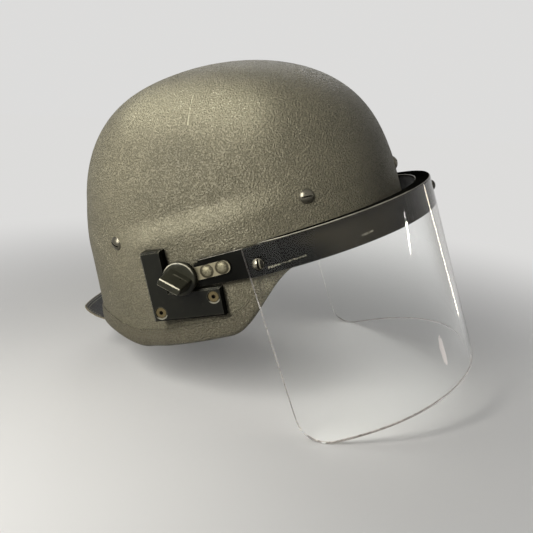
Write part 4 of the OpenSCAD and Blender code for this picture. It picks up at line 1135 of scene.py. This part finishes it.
def band_section(x, q, straight):
    """Depth and height of the band's outline; k is 1 under the full flange and 0 on the straight ends."""
    fl = LENS_T + BAND_T + (FLANGE_IN + FLANGE_MORE * fade((70 - abs(q)) / 50)) * fade((86 - abs(q)) / 12)
    cap = .3 + (LENS_T + BAND_T / 2 - .6) * fade((abs(q) - 78) / 10)
    low = BAND_TOP - BAND_H + 3.0 * min(1, max(0, (LENS_REAR + 4 - x) / (LENS_REAR + 4 - BAND_REAR)))
    top = BAND_TOP - BAND_STEP * min(1, max(0, (BAND_REAR + 5 - x) / 2.0))
    k = 0.0 if straight else min(1, max(0, fade((89.5 - abs(q)) / 6)))
    half = FLANGE_T / 2 * k
    w0, w1 = LENS_T, LENS_T + BAND_T
    cap = min(cap, w0 + BAND_T / 2) if k > 0 else w0
    inner = max(fl, w1)
    r = .5
    sec = [(w0, top + SEAT - .04 * (1 - k)), (w0, low + r), (w0 + .15, low + .15), (w0 + r, low),
           (w1 - r, low), (w1 - .15, low + .15), (w1, low + r), (w1, top - half - 1.2 * k),
           (w1 + .35 * k, top - half - .35 * k), (w1 + 1.2 * k, top - half),
           (max(inner - .5, w1 + 1.2 * k), top - half), (inner, top - half * .5), (inner, top + half * .5),
           (max(inner - .5, w1 + .1 * k), top + half), (w1 + .05 * k, top + half), (w0 + .2, top + half),
           (cap + .55 * k, top + half), (cap, top + half * .5), (cap, top + SEAT), (w0 - .01, top + SEAT)]
    if k == 0:
        sec[0] = (w0, top - .6)
        sec[-4:] = [(w0 + .5, top), (w0 + .34, top - .1), (w0 + .15, top - .32), (w0 + .02, top - .52)]
    return sec


def make_band():
    """Brow band: the wall behind the lens with a flange along its top."""
    sections = []

    def add(x, y, nx, ny, q, straight):
        sections.append([(x - nx * d, y - ny * d, z) for d, z in band_section(x, q, straight)])

    back = [BAND_REAR + x for x in (0, 1.5, 2.8, 3.2, 4, 5, 7)]
    back += list(np.linspace(BAND_REAR + 10, LENS_REAR - 1, 10))
    for x in back:
        add(x, -LENS_OUT, 0, -1, -90, True)
    a, e = LENS_FRONT - LENS_REAR, 2 - 2 / LENS_N
    for q in np.linspace(-90, 90, 241):
        x, y = lens_point(q, 0.0)
        n = unit([spow(cosd(q), e) / a, spow(sind(q), e) / LENS_OUT])
        add(float(x), float(y), n[0], n[1], float(q), abs(q) > 89.6)
    for x in back[::-1]:
        add(x, LENS_OUT, 0, 1, 90, True)
    b = Build()
    b.tube(np.array(sections))
    b.make("brow_band_moulding", "band_black", "brow_band", "visor", 35)


make_band()


def make_knob(sgn, name, body, node):
    b = Build()
    R, H = KNOB_R, SKIRT_H
    prof = [(0, .3), (2.4, .3), (2.6, 0), (R - .9, 0), (R - .35, .15), (R - .1, .45), (R, .9),
            (R, H - 1.5), (R - .12, H - 1.0), (R - .4, H - .55), (R - .9, H - .2), (R - 1.5, H),
            (R - 3.0, H + .05), (R - 5, H + .06), (0, H + .06)]
    b.lathe(prof, side_frame(sgn, KNOB_FOOT), 96)
    # grip: rounded rectangles that taper from the foot to the crest
    o2, gx, gy, gz = side_frame(sgn, KNOB_FOOT, GRIP_TURN)
    rings = []
    crest, round_r = .93, .95
    for s in (0, .1, .2, .34, .5, .66, .8, .88, .93, .965, .985, .996, 1.0):
        k = min(1, s / crest)
        h = GRIP_LOW + (GRIP_HIGH - GRIP_LOW) * k
        length = GRIP_LEN - k
        thick = GRIP_FOOT - (GRIP_FOOT - GRIP_CREST) * k
        if s > crest:
            u = (s - crest) / (1 - crest)
            drop = 2 * round_r * (1.0 - math.sqrt(max(0, 1 - u * u)))
            length -= drop
            thick -= drop
            h += round_r * u
        foot = max(0, 1 - s / .12) * 1.44
        length += foot
        thick += foot
        r = min(1.5, thick / 2 - .2)
        ring = []
        for cx, cy, a0 in ((1, 1, 0), (-1, 1, 90), (-1, -1, 180), (1, -1, 270)):
            for a in np.radians(np.linspace(a0, a0 + 90, 6)):
                px = cx * (length / 2 - r) + r * math.cos(a)
                py = cy * (thick / 2 - r) + r * math.sin(a)
                # a shallow waist along the grip's faces for the fingers
                py *= 1 - .07 * math.cos(px / (length / 2) * math.pi / 2) * min(1, s * 2)
                ring.append(o2 + gx * px + gy * py + gz * h)
        rings.append(ring)
    b.tube(np.array(rings))
    b.make(name, "knob_black", node, body, 50)


make_knob(-1, "right_clamp_knob_grip", "right_clamp_knob", "right_knob")
make_knob(1, "left_clamp_knob_grip", "left_clamp_knob", "left_knob")

# Suspension
WEB_T, WEB_H, WEB_LOW = 1.5, 28.0, 11.0
TEMPLE_A, REAR_A = float(angle_at(79)), float(angle_at(-80))
SCREWS = [(0, 22), (TEMPLE_A, 24), (REAR_A, 29), (180, 22), (-REAR_A, 29), (-TEMPLE_A, 24)]
POST_LEN = 11.0
WEB_MID = SHELL_T + .2 + POST_LEN + WEB_T / 2


def screw_origin(k):
    th, z = SCREWS[k]
    p = skin(th, v_at(np.float64(th), min(z, SPRING_Z - .01)))
    return np.array([p[0], p[1], z])


def screw_dir(k):
    return plan_normal(np.float64(SCREWS[k][0]))


def web_corner(k, s):
    d, o = screw_dir(k), screw_origin(k)
    return np.array([o[0] - d[0] * WEB_MID - d[1] * 9 * s, o[1] - d[1] * WEB_MID + d[0] * 9 * s])


def run_mid(k):
    return (web_corner(k, 1) + web_corner((k + 1) % 6, -1)) / 2


def run_dir(k):
    return unit(web_corner((k + 1) % 6, -1) - web_corner(k, 1))


def perp(v):
    return np.array([v[1], -v[0]])


def resample(line, step, closed=False):
    line = np.asarray(line, float)
    if closed:
        line = np.concatenate([line, line[:1]])
    s = arc_length(line)
    q = np.linspace(0, s[-1], max(2, int(round(s[-1] / step))) + 1)
    return along(q[:-1] if closed else q, s, line)


def soften(line, times, closed=False):
    line = line.copy()
    for _ in range(times):
        if closed:
            line = (np.roll(line, 1, 0) + 2 * line + np.roll(line, -1, 0)) / 4
        else:
            line[1:-1] = (line[:-2] + 2 * line[1:-1] + line[2:]) / 4
    return line


def make_web():
    line = np.array([web_corner(k, s) for k in range(6) for s in (-1, 1)])
    line = soften(resample(line, 2.0, True), 6, True)
    out = ring_normals(line)
    path = np.concatenate([line, np.full((len(line), 1), WEB_LOW + WEB_H / 2)], 1)
    up = np.tile([0, 0, 1.0], (len(line), 1))
    sec, u = strap_section(WEB_H, WEB_T, n=15)
    b = Build()
    b.tube(sweep(path, up, out, sec), wrap_rows=True, u=u)
    # two sewn lines along the web's edges
    for off in (-WEB_H / 2 + 2.2, WEB_H / 2 - 2.2):
        for side in (1, -1):
            ln = np.concatenate([path, path[:1]]) + np.array([0, 0, off])
            nn = np.concatenate([out, out[:1]]) * side
            stitches(b, ln + nn * (WEB_T / 2), nn, mat=1, r=.28)
    b.make("suspension_web_strap", "web_olive thread_dark", "suspension_web")


make_web()


def crown_path(a, bk, top, n=72):
    foot, start_z = WEB_LOW + WEB_H * .4, WEB_LOW + WEB_H
    out = WEB_T / 2 + .1
    pa = run_mid(a) + perp(run_dir(a)) * out
    pb = run_mid(bk) + perp(run_dir(bk)) * out
    q = 180 * np.arange(n + 1) / n
    s = (1 - spow(cosd(q), 2 / 2.3)) / 2
    p = pa[None] + (pb - pa)[None] * s[:, None]
    z = start_z + (top - start_z) * np.maximum(0, sind(q)) ** (2 / 2.3)
    path = np.concatenate([p, z[:, None]], 1)
    legs = np.linspace(foot, start_z, 8)[:-1]
    head = np.stack([np.full(7, pa[0]), np.full(7, pa[1]), legs], -1)
    tail = np.stack([np.full(7, pb[0]), np.full(7, pb[1]), legs[::-1]], -1)
    path = np.concatenate([head, path, tail])
    m = len(path)
    w = np.linspace(0, 1, m)[:, None]
    w2 = unit(run_dir(a)[None] * (1 - w) - run_dir(bk)[None] * w)
    across = np.concatenate([w2, np.zeros((m, 1))], 1)
    up = unit(np.cross(across, tangents(path)))
    flip = np.sign(np.sum(up * path, 1))
    up = up * np.where(flip == 0, 1, flip)[:, None]
    return path, across, up


def make_crown():
    b = Build()
    sec, u = strap_section(20.0, WEB_T, n=11)
    for a, bk, top in ((0, 3, 116.0), (1, 4, 117.5), (2, 5, 119.0)):
        path, across, up = crown_path(a, bk, top)
        mid = path + up * WEB_T / 2
        b.tube(sweep(mid, across, up, sec), u=u)
        for lo, hi in ((0, 8), (len(path) - 8, len(path))):
            for off in (-7.6, 7.6):
                ln = path[lo:hi] + across[lo:hi] * off + up[lo:hi] * WEB_T
                stitches(b, ln, up[lo:hi], mat=1, r=.3)
            for k in (lo + 1, hi - 2):
                ln = np.array([path[k] + across[k] * s + up[k] * WEB_T for s in np.linspace(-7.6, 7.6, 5)])
                stitches(b, ln, np.tile(up[k], (5, 1)), mat=1, r=.3)
    b.make("crown_strap_set", "web_olive thread_dark", "crown_straps")


make_crown()


HEADBAND_H, HEADBAND_SEWN, HEADBAND_PADS = 34.0, 4.4, 12


def make_headband():
    """Leather over foam: puffed between two sewn lines and the upright seams."""
    th = np.arange(420) * 360 / 420
    line = np.stack([100 * spow(cosd(th), 2 / 2.25), 80 * spow(sind(th), 2 / 2.25)], -1)
    line = resample(line, 1.6, True)
    out = ring_normals(line)
    s = np.cumsum(np.linalg.norm(np.roll(line, -1, 0) - line, axis=1))
    swell = np.clip(np.sin(np.pi * ((s / s[-1] * HEADBAND_PADS) % 1)), 0, 1) ** .28
    half = HEADBAND_H / 2
    zs = np.linspace(-half + .3, half - .3, 27)
    rim = np.clip((half - np.abs(zs)) / 4.2, 0, 1)
    across = np.sin(rim * np.pi / 2) ** .6
    groove = 1 - .55 * np.exp(-((half - np.abs(zs) - HEADBAND_SEWN) / .8) ** 2)
    inner = .55 + 1.45 * across * groove
    mid = np.concatenate([line, np.zeros((len(line), 1))], 1)
    cols = []
    for j, z in enumerate(zs):
        d = -(.45 + (inner[j] - .45) * (.45 + .55 * swell))
        cols.append(mid + out * d[:, None] + np.array([0, 0, z]))
    for j in range(len(zs) - 1, -1, -1):
        d = .35 + .75 * across[j] + .9 * across[j] * (.6 + .4 * swell)
        cols.append(mid + out * np.minimum(2.0, d)[:, None] + np.array([0, 0, zs[j]]))
    b = Build()
    b.tube(np.stack(cols, 1), wrap_rows=True)
    for z in (-half + HEADBAND_SEWN, half - HEADBAND_SEWN):
        ln = np.concatenate([mid, mid[:1]]) + np.array([0, 0, z])
        nn = -np.concatenate([out, out[:1]])
        stitches(b, ln + nn * 1.0, nn, 3.0, 1.4, .3, mat=1)
    b.make("padded_headband", "headband_leather thread_dark", "headband")


make_headband()


# Chin strap
JUNCTION, TAIL = np.array([96.0, -30.0]), np.array([128.0, -38.0])
STRAP_LIFT = 6.4
OVER_STRAP = STRAP_LIFT + WEB_T + SLACK


def wall_path(a, b, lift, n):
    """Evenly spaced points along the inner wall, with the direction across and out of the wall."""
    w = np.asarray(a)[None] + (np.asarray(b) - np.asarray(a))[None] * np.linspace(0, 1, n)[:, None]
    v = v_at(w[:, 0], w[:, 1])
    p = below(w[:, 0], v, SHELL_T + lift)
    nv = skin_normal(w[:, 0], v)
    return p, unit(np.cross(nv, tangents(p))), -nv


def mirror(pts, sgn):
    return np.asarray(pts) * np.array([1, sgn, 1])


def make_chin_strap(sgn, name, node):
    b = Build()
    sec, u = strap_section(19.0, WEB_T, n=11)
    legs = ((np.array([TEMPLE_A - 3, 33]), JUNCTION, 44), (np.array([REAR_A + 1, 37]), JUNCTION, 36),
            (JUNCTION + [-3, 2], TAIL, 34))
    for k, (a, e, n) in enumerate(legs):
        p, across, up = wall_path(a, e, STRAP_LIFT, n)
        mid = p + up * (WEB_T / 2 + (.02 * k))
        b.tube(mirror(sweep(mid, across, up, sec), sgn), u=u)
        for off in (-8.0, 8.0):
            ln = p + across * off + up * (WEB_T + .02 * k)
            stitches(b, mirror(ln, sgn), mirror(up, sgn), 2.4, 1.2, .26, mat=1)
        # a folded end sewn down round its screw
        if k < 2:
            m = 9
            q, ac, uu = p[:m], across[:m], up[:m]
            fold, fu = strap_section(18.6, .9, n=9)
            b.tube(mirror(sweep(q + uu * (WEB_T * 1.35), ac * .96, uu, fold), sgn), u=fu)
    b.make(name, "black_webbing thread_dark", node)


make_chin_strap(-1, "right_chin_strap_yoke", "right_chin_strap")
make_chin_strap(1, "left_chin_strap_yoke", "left_chin_strap")


def wall_map(a, b, sgn):
    """Maps (along, across, up) in mm onto the strap's inner side between two places, and how long that is."""
    p, ac, up = wall_path(a, b, OVER_STRAP, 25)
    s = arc_length(p)

    def f(x):
        x = np.asarray(x, float)
        o, c, n = (along(x[..., 0], s, line) for line in (p, ac, up))
        return mirror(o + unit(c) * x[..., 1:2] + unit(n) * x[..., 2:3], sgn)
    return f, s[-1]


def make_slides():
    b = Build()
    h = 12.5
    for sgn in (-1, 1):
        g, L = wall_map(JUNCTION + [3, -.8], JUNCTION + [7, -1.9], sgn)
        for y in (-h, h - 2.4):
            b.rbox((0, y, 0), (L, y + 2.4, 2.0), .6, g, mids=(2, 0, 0))
        for x0, x1 in ((0, 1.9), (L / 2 - .9, L / 2 + .9), (L - 1.9, L)):
            b.rbox((x0, -h + 1, .1), (x1, h - 1, 1.9), .5, g, mids=(0, 3, 0))
    b.make("strap_slide_pair", "black_moulding", "strap_slides")


make_slides()


def make_buckle_socket():
    """A hollow body: top and bottom plates, side walls, guide rails, ribs and the webbing bar."""
    g, L = wall_map(TAIL + [-13, 1], TAIL + [-1, 0], -1)
    w = 13.5
    b = Build()
    b.rbox((0, -w, 0), (L * .72, w, 1.2), .55, g, mids=(3, 3, 0))
    b.rbox((0, -w + 1.4, 3.7), (L * .72, w - 1.4, 5), .6, g, mids=(3, 3, 0))
    for s in (-1, 1):
        b.rbox((0, s * w, .4), (L * .26, s * (w - 2.2), 4.6), .6, g, mids=(1, 0, 0))
        b.rbox((L * .6, s * w, .2), (L, s * (w - 2.6), 4.0), .7, g, mids=(1, 0, 0))
        b.rbox((.3, s * 3.2, .8), (L * .6, s * 4.2, 4.2), .3, g, mids=(1, 0, 0))
    for x in (.12, .2, .28):
        b.rbox((L * x, -w + 3, 4.6), (L * x + .9, w - 3, 5.0), .2, g, mids=(0, 3, 0))
    b.rbox((L * .66, -w + 1, .5), (L * .72, w - 1, 4.4), .6, g, mids=(0, 3, 0))
    b.rbox((L - 2.6, -w + 1.6, .5), (L, w - 1.6, 3.2), .9, g, mids=(0, 3, 0))
    b.make("buckle_socket_moulding", "black_moulding", "buckle_socket")


def make_buckle_prong():
    """A frame with its webbing bar, a middle guide and two springy side prongs."""
    g, L = wall_map(TAIL + [-11, 1], TAIL + [-1, 0], 1)
    w = 11.5
    b = Build()
    for s in (-1, 1):
        b.rbox((L * .62, s * w, .2), (L, s * (w - 2.8), 3.8), .7, g, mids=(1, 0, 0))
    b.rbox((L - 2.6, -w + 1.6, .3), (L, w - 1.6, 3.0), .9, g, mids=(0, 3, 0))
    b.rbox((L * .56, -w + .6, .3), (L * .68, w - .6, 4.0), .7, g, mids=(0, 3, 0))
    b.rbox((L * .08, -1.6, .9), (L * .6, 1.6, 3.2), .7, g, mids=(2, 0, 0))
    for s in (-1, 1):
        b.rbox((0.3, s * 6.4, .8), (L * .6, s * 9.0, 3.4), .8, g, mids=(3, 0, 0))
        b.rbox((0.0, s * 8.0, .7), (L * .3, s * 11.2, 3.6), .9, g, mids=(2, 0, 0))
    b.make("buckle_prong_moulding", "black_moulding", "buckle_prong")


make_buckle_socket()
make_buckle_prong()


def make_chin_pad():
    g, L = wall_map(JUNCTION + [8.5, -2.3], TAIL + [-13, 1], 1)
    b = Build()
    b.rbox((.8, -11.6, .45), (L - .8, 11.6, 2.35), .9, g, k=4, mids=(14, 16, 0))
    ob = b.make("chin_pad_cushion", "black_cloth", "chin_pad")
    seams = {y: g([[x, y, 1.4] for x in np.linspace(1, L - 1, 40)]) for y in (-9.2, 9.2)}
    puff(ob, .0012, .0007, np.concatenate(list(seams.values())), 1.5)
    b = Build()
    for y, seam in seams.items():
        row = g([[x, y, 2.45] for x in np.linspace(1.5, L - 1.5, 40)])
        stitches(b, row, unit(row - seam), 2.2, 1.1, .26)
    b.make("chin_pad_thread", "thread_dark")


make_chin_pad()


def make_fastener():
    th = 180 + np.linspace(-16.2, 16.2, 60)
    z = rim_z(plan_x(th)) + TRIM_H + 7.5
    v = v_at(th, z)
    p = below(th, v, SHELL_T + SLACK)
    nv = skin_normal(th, v)
    across = unit(np.cross(nv, unit(np.gradient(p, axis=0))))
    b = Build()
    b.tube(sweep(p - nv * .5, across, -nv, strap_section(10, 1.0, n=9)[0]))
    b.make("nape_fastener_strip", "hook_and_loop", "nape_pad_fastener")


make_fastener()


# Nape pad
IN_R, LOW = -SHELL_T - TRIM_T - SLACK * 2, -TRIM_T - SLACK * 2
PAD_HALF = 20.5


def nape_frame(th):
    e, n = skin(th, 2.0), skin_normal(th, 2.0)
    return e, n, unit(skin(th, trim_v(np.float64(th))) - e)


def pad_at(q, out, up):
    e, n, a = nape_frame(180 - PAD_HALF * q)
    return e + n * out + a * up


SEAM_Q, SEAM_LOW, SEAM_HIGH = .93, 3.4, 25.2
CUSHION_MID, CUSHION_FACE = IN_R - 3.6, IN_R - 6.35


def make_nape_cushion():
    """The padded leg that hangs inside the edge, sewn flat round its border."""
    b = Build()
    m = 48
    sec, _ = strap_section(27.0, 5.4, 2.4, 9)
    rings = []
    for i in range(-m, m + 1):
        q = i / m
        e, n, a = nape_frame(180 - (PAD_HALF - .4) * q)
        k = max(.08, 1 - abs(q) ** 14) ** .5
        rings.append([e + n * (CUSHION_MID + y * k) + a * (14.3 + x * (1 - .06 * (1 - k))) for x, y in sec])
    b.tube(np.array(rings))
    ob = b.make("nape_pad_cushion", "nape_leather", "nape_pad")
    border = [(q, h) for q in np.linspace(-SEAM_Q, SEAM_Q, 90) for h in (SEAM_LOW, SEAM_HIGH)]
    border += [(q, h) for h in np.linspace(SEAM_LOW, SEAM_HIGH, 20) for q in (-SEAM_Q, SEAM_Q)]
    puff(ob, .0018, .0016, np.array([pad_at(q, CUSHION_MID, h) for q, h in border]), 3.1)
    path = [(q, SEAM_LOW) for q in np.linspace(-SEAM_Q, SEAM_Q, 60)]
    path += [(SEAM_Q, h) for h in np.linspace(SEAM_LOW, SEAM_HIGH, 14)[1:]]
    path += [(q, SEAM_HIGH) for q in np.linspace(SEAM_Q, -SEAM_Q, 60)[1:]]
    path += [(-SEAM_Q, h) for h in np.linspace(SEAM_HIGH, SEAM_LOW, 14)[1:]]
    up = [-nape_frame(180 - PAD_HALF * q)[1] for q, h in path]
    b = Build()
    stitches(b, [pad_at(q, CUSHION_FACE, h) for q, h in path], up, 2.6, 1.2, .3)
    b.make("nape_pad_thread", "thread_pale")


def make_nape_flap():
    """The thin leather lip that comes out under the edge and curls up behind it."""
    thick, m, n_w = 1.5, 84, 30
    out, lip = 15.5, 13.0
    pts = np.array([(IN_R - 4, LOW + 4.2), (IN_R - 2.6, LOW + .4), (IN_R + 1, LOW - .85), (1.5, LOW - .85),
                    (2 + out * .45 + .5, LOW + (lip - LOW) * .33 - .65),
                    (2 + out * .8 + .6, LOW + (lip - LOW) * .71 - .55), (2 + out + .7, lip - .1)])
    prof = resample(pts, .6)
    prof = soften(np.concatenate([prof, np.zeros((len(prof), 1))], 1), 14)[:, :2]
    s = arc_length(prof)
    tan = unit(np.gradient(prof, axis=0))
    nor = np.stack([-tan[:, 1], tan[:, 0]], -1)

    def at(q, w, up):
        """A point of the sheet: q across it, w in mm back from its lip, up off its middle."""
        sag = .35 * math.sin(q * 9 + 1) * max(0, 1 - w / 16)
        d = s[-1] - w
        return pad_at(q, *(along(d, s, prof) + along(d, s, nor) * (up + sag)))

    def lip_at(q):
        k = max(0, (abs(q) - .87) / .13)
        return 6.5 * (1 - math.sqrt(max(0, 1 - k * k)))

    b = Build()
    rings = []
    half = thick / 2
    arc = np.radians([60, 30, 0, -30, -60])
    for i in range(-m, m + 1):
        q = math.sin(i / m * math.pi / 2) * .25 + i / m * .75
        w0 = lip_at(q)
        ws = np.linspace(s[-1], w0 + half, n_w)
        ring = [at(q, w, half) for w in ws]
        ring += [at(q, w0 + half - half * math.cos(g), half * math.sin(g)) for g in arc]
        ring += [at(q, w, -half) for w in ws[::-1]]
        rings.append(ring)
    b.tube(rings, cap_mat=1)
    for i in range(len(rings) - 1):
        for j in range(n_w - 1, n_w + 5):
            b.m[i * len(ring) + j] = 1
    for up in (half, -half):
        for inset in (2.0, 4.2):
            qs = 1 - inset / 47
            path = [(-qs, w) for w in np.linspace(18, 7, 12)]
            path += [(q, lip_at(q) + inset) for q in np.linspace(-qs, qs, 90)]
            path += [(qs, w) for w in np.linspace(7, 18, 12)]
            line = np.array([at(q, w, up) for q, w in path])
            norm = np.array([at(q, w, up * 2) - at(q, w, up) for q, w in path])
            stitches(b, line, unit(norm), 1.5, .9, .3, mat=2)
    b.make("nape_flap_sheet", "nape_leather raw_edge thread_pale", soft_angle=50)


make_nape_cushion()
make_nape_flap()


# Stage
def make_floor():
    """A pale floor that glows further out, and that lights the helmet less than it shows."""
    low, sides = CAD_BOUNDS[0][2], 64
    a = np.linspace(0, 2 * np.pi, sides, endpoint=False)
    r = np.array([.02, .2, .5, 1.0, 2.0, 3.5, 6.0])
    b = Build()
    pts = np.stack([r[:, None] * np.cos(a), r[:, None] * np.sin(a), np.full((len(r), sides), low)], -1)
    b.fan([0, 0, low], b.grid(pts, wrap=True), sides)
    me = bpy.data.meshes.new("floor")
    me.from_pydata(np.concatenate(b.v).tolist(), [], b.f)
    g = Mat("floor_pale", rough=.9, spec=.2)
    seen = g.seen()
    pale = g.mix(g.patchy(.3, .7, 3, 3), (.66, .655, .645, 1), (.70, .695, .68, 1))
    g.set(color=g.mix(seen, (.16, .158, .15, 1), pale))
    far = g.node("VectorMath", {"operation": "LENGTH"}, out=1, i0=g.coord())
    glow = g.node("Emission", Color=(.72, .715, .705, 1), Strength=1.0)
    me.materials.append(g.over(g.mul(g.rng(far, .15, .75, .12, 1, True), seen), glow))
    place("floor", me)


def make_world():
    """Pale to the camera, in mirrors and through the lens, and dim as a light."""
    SCENE.world = bpy.data.worlds.new("world")
    SCENE.world.use_nodes = True
    w = Nodes(SCENE.world.node_tree)
    back = w.t.nodes["Background"]
    w.put(back.inputs[0], (1, .995, .985, 1))
    w.put(back.inputs[1], w.rng(w.seen(), 0, 1, .045, .72))


def lamp(name, pos, target, size, power, color=(1, 1, 1), top=None, shape="RECTANGLE", only=None):
    """An area lamp; top tells where its long side points, only names the one piece it shines on."""
    d = bpy.data.lights.new(name, "AREA")
    d.shape = shape
    d.size, d.size_y = size
    d.energy = power
    d.color = color
    o = place(name, d)
    p, q = Vector(pos), Vector(target)
    o.location = p
    o.rotation_euler = (q - p).to_track_quat("-Z", "Y").to_euler()
    if top:
        back = (p - q).normalized()
        x = Vector(top).cross(back).normalized()
        o.rotation_euler = Matrix((x, back.cross(x), back)).transposed().to_euler()
    o.visible_camera = o.visible_transmission = False
    if only:
        c = bpy.data.collections.new(name + "_on")
        c.objects.link(bpy.data.objects[only])
        o.light_linking.receiver_collection = c


make_floor()
make_world()
lamp("key", (-.18, -.42, .225), (-.02, 0, .02), (.12, .3), 2.7, (1, .985, .94), (0, 0, 1))
lamp("fill", (.9, -1.1, .5), (.03, 0, -.03), (1.0, 1.0), .7, (.95, .975, 1))
lamp("rim", (-.2, 1.2, .9), (0, 0, 0), (1.0, .6), 5)
lamp("strip_long", (.474, .346, -.002), (.17, -.04, 0), (.018, .25), .16, (1, .9, .72), (-.017, -.022, .225),
     only="face_shield_lens")
lamp("strip_short", (.628, -.003, .101), (.14, -.083, .026), (.014, .085), .35, (1, .95, .86),
     (-.02, .045, .062), "ELLIPSE", "face_shield_lens")
lamp("strip_corner", (.662, .043, -.1), (.18, -.078, -.068), (.05, .05), .05, (1, .84, .76), (0, 0, 1),
     "ELLIPSE", "face_shield_lens")
SCENE.view_settings.view_transform = "Standard"
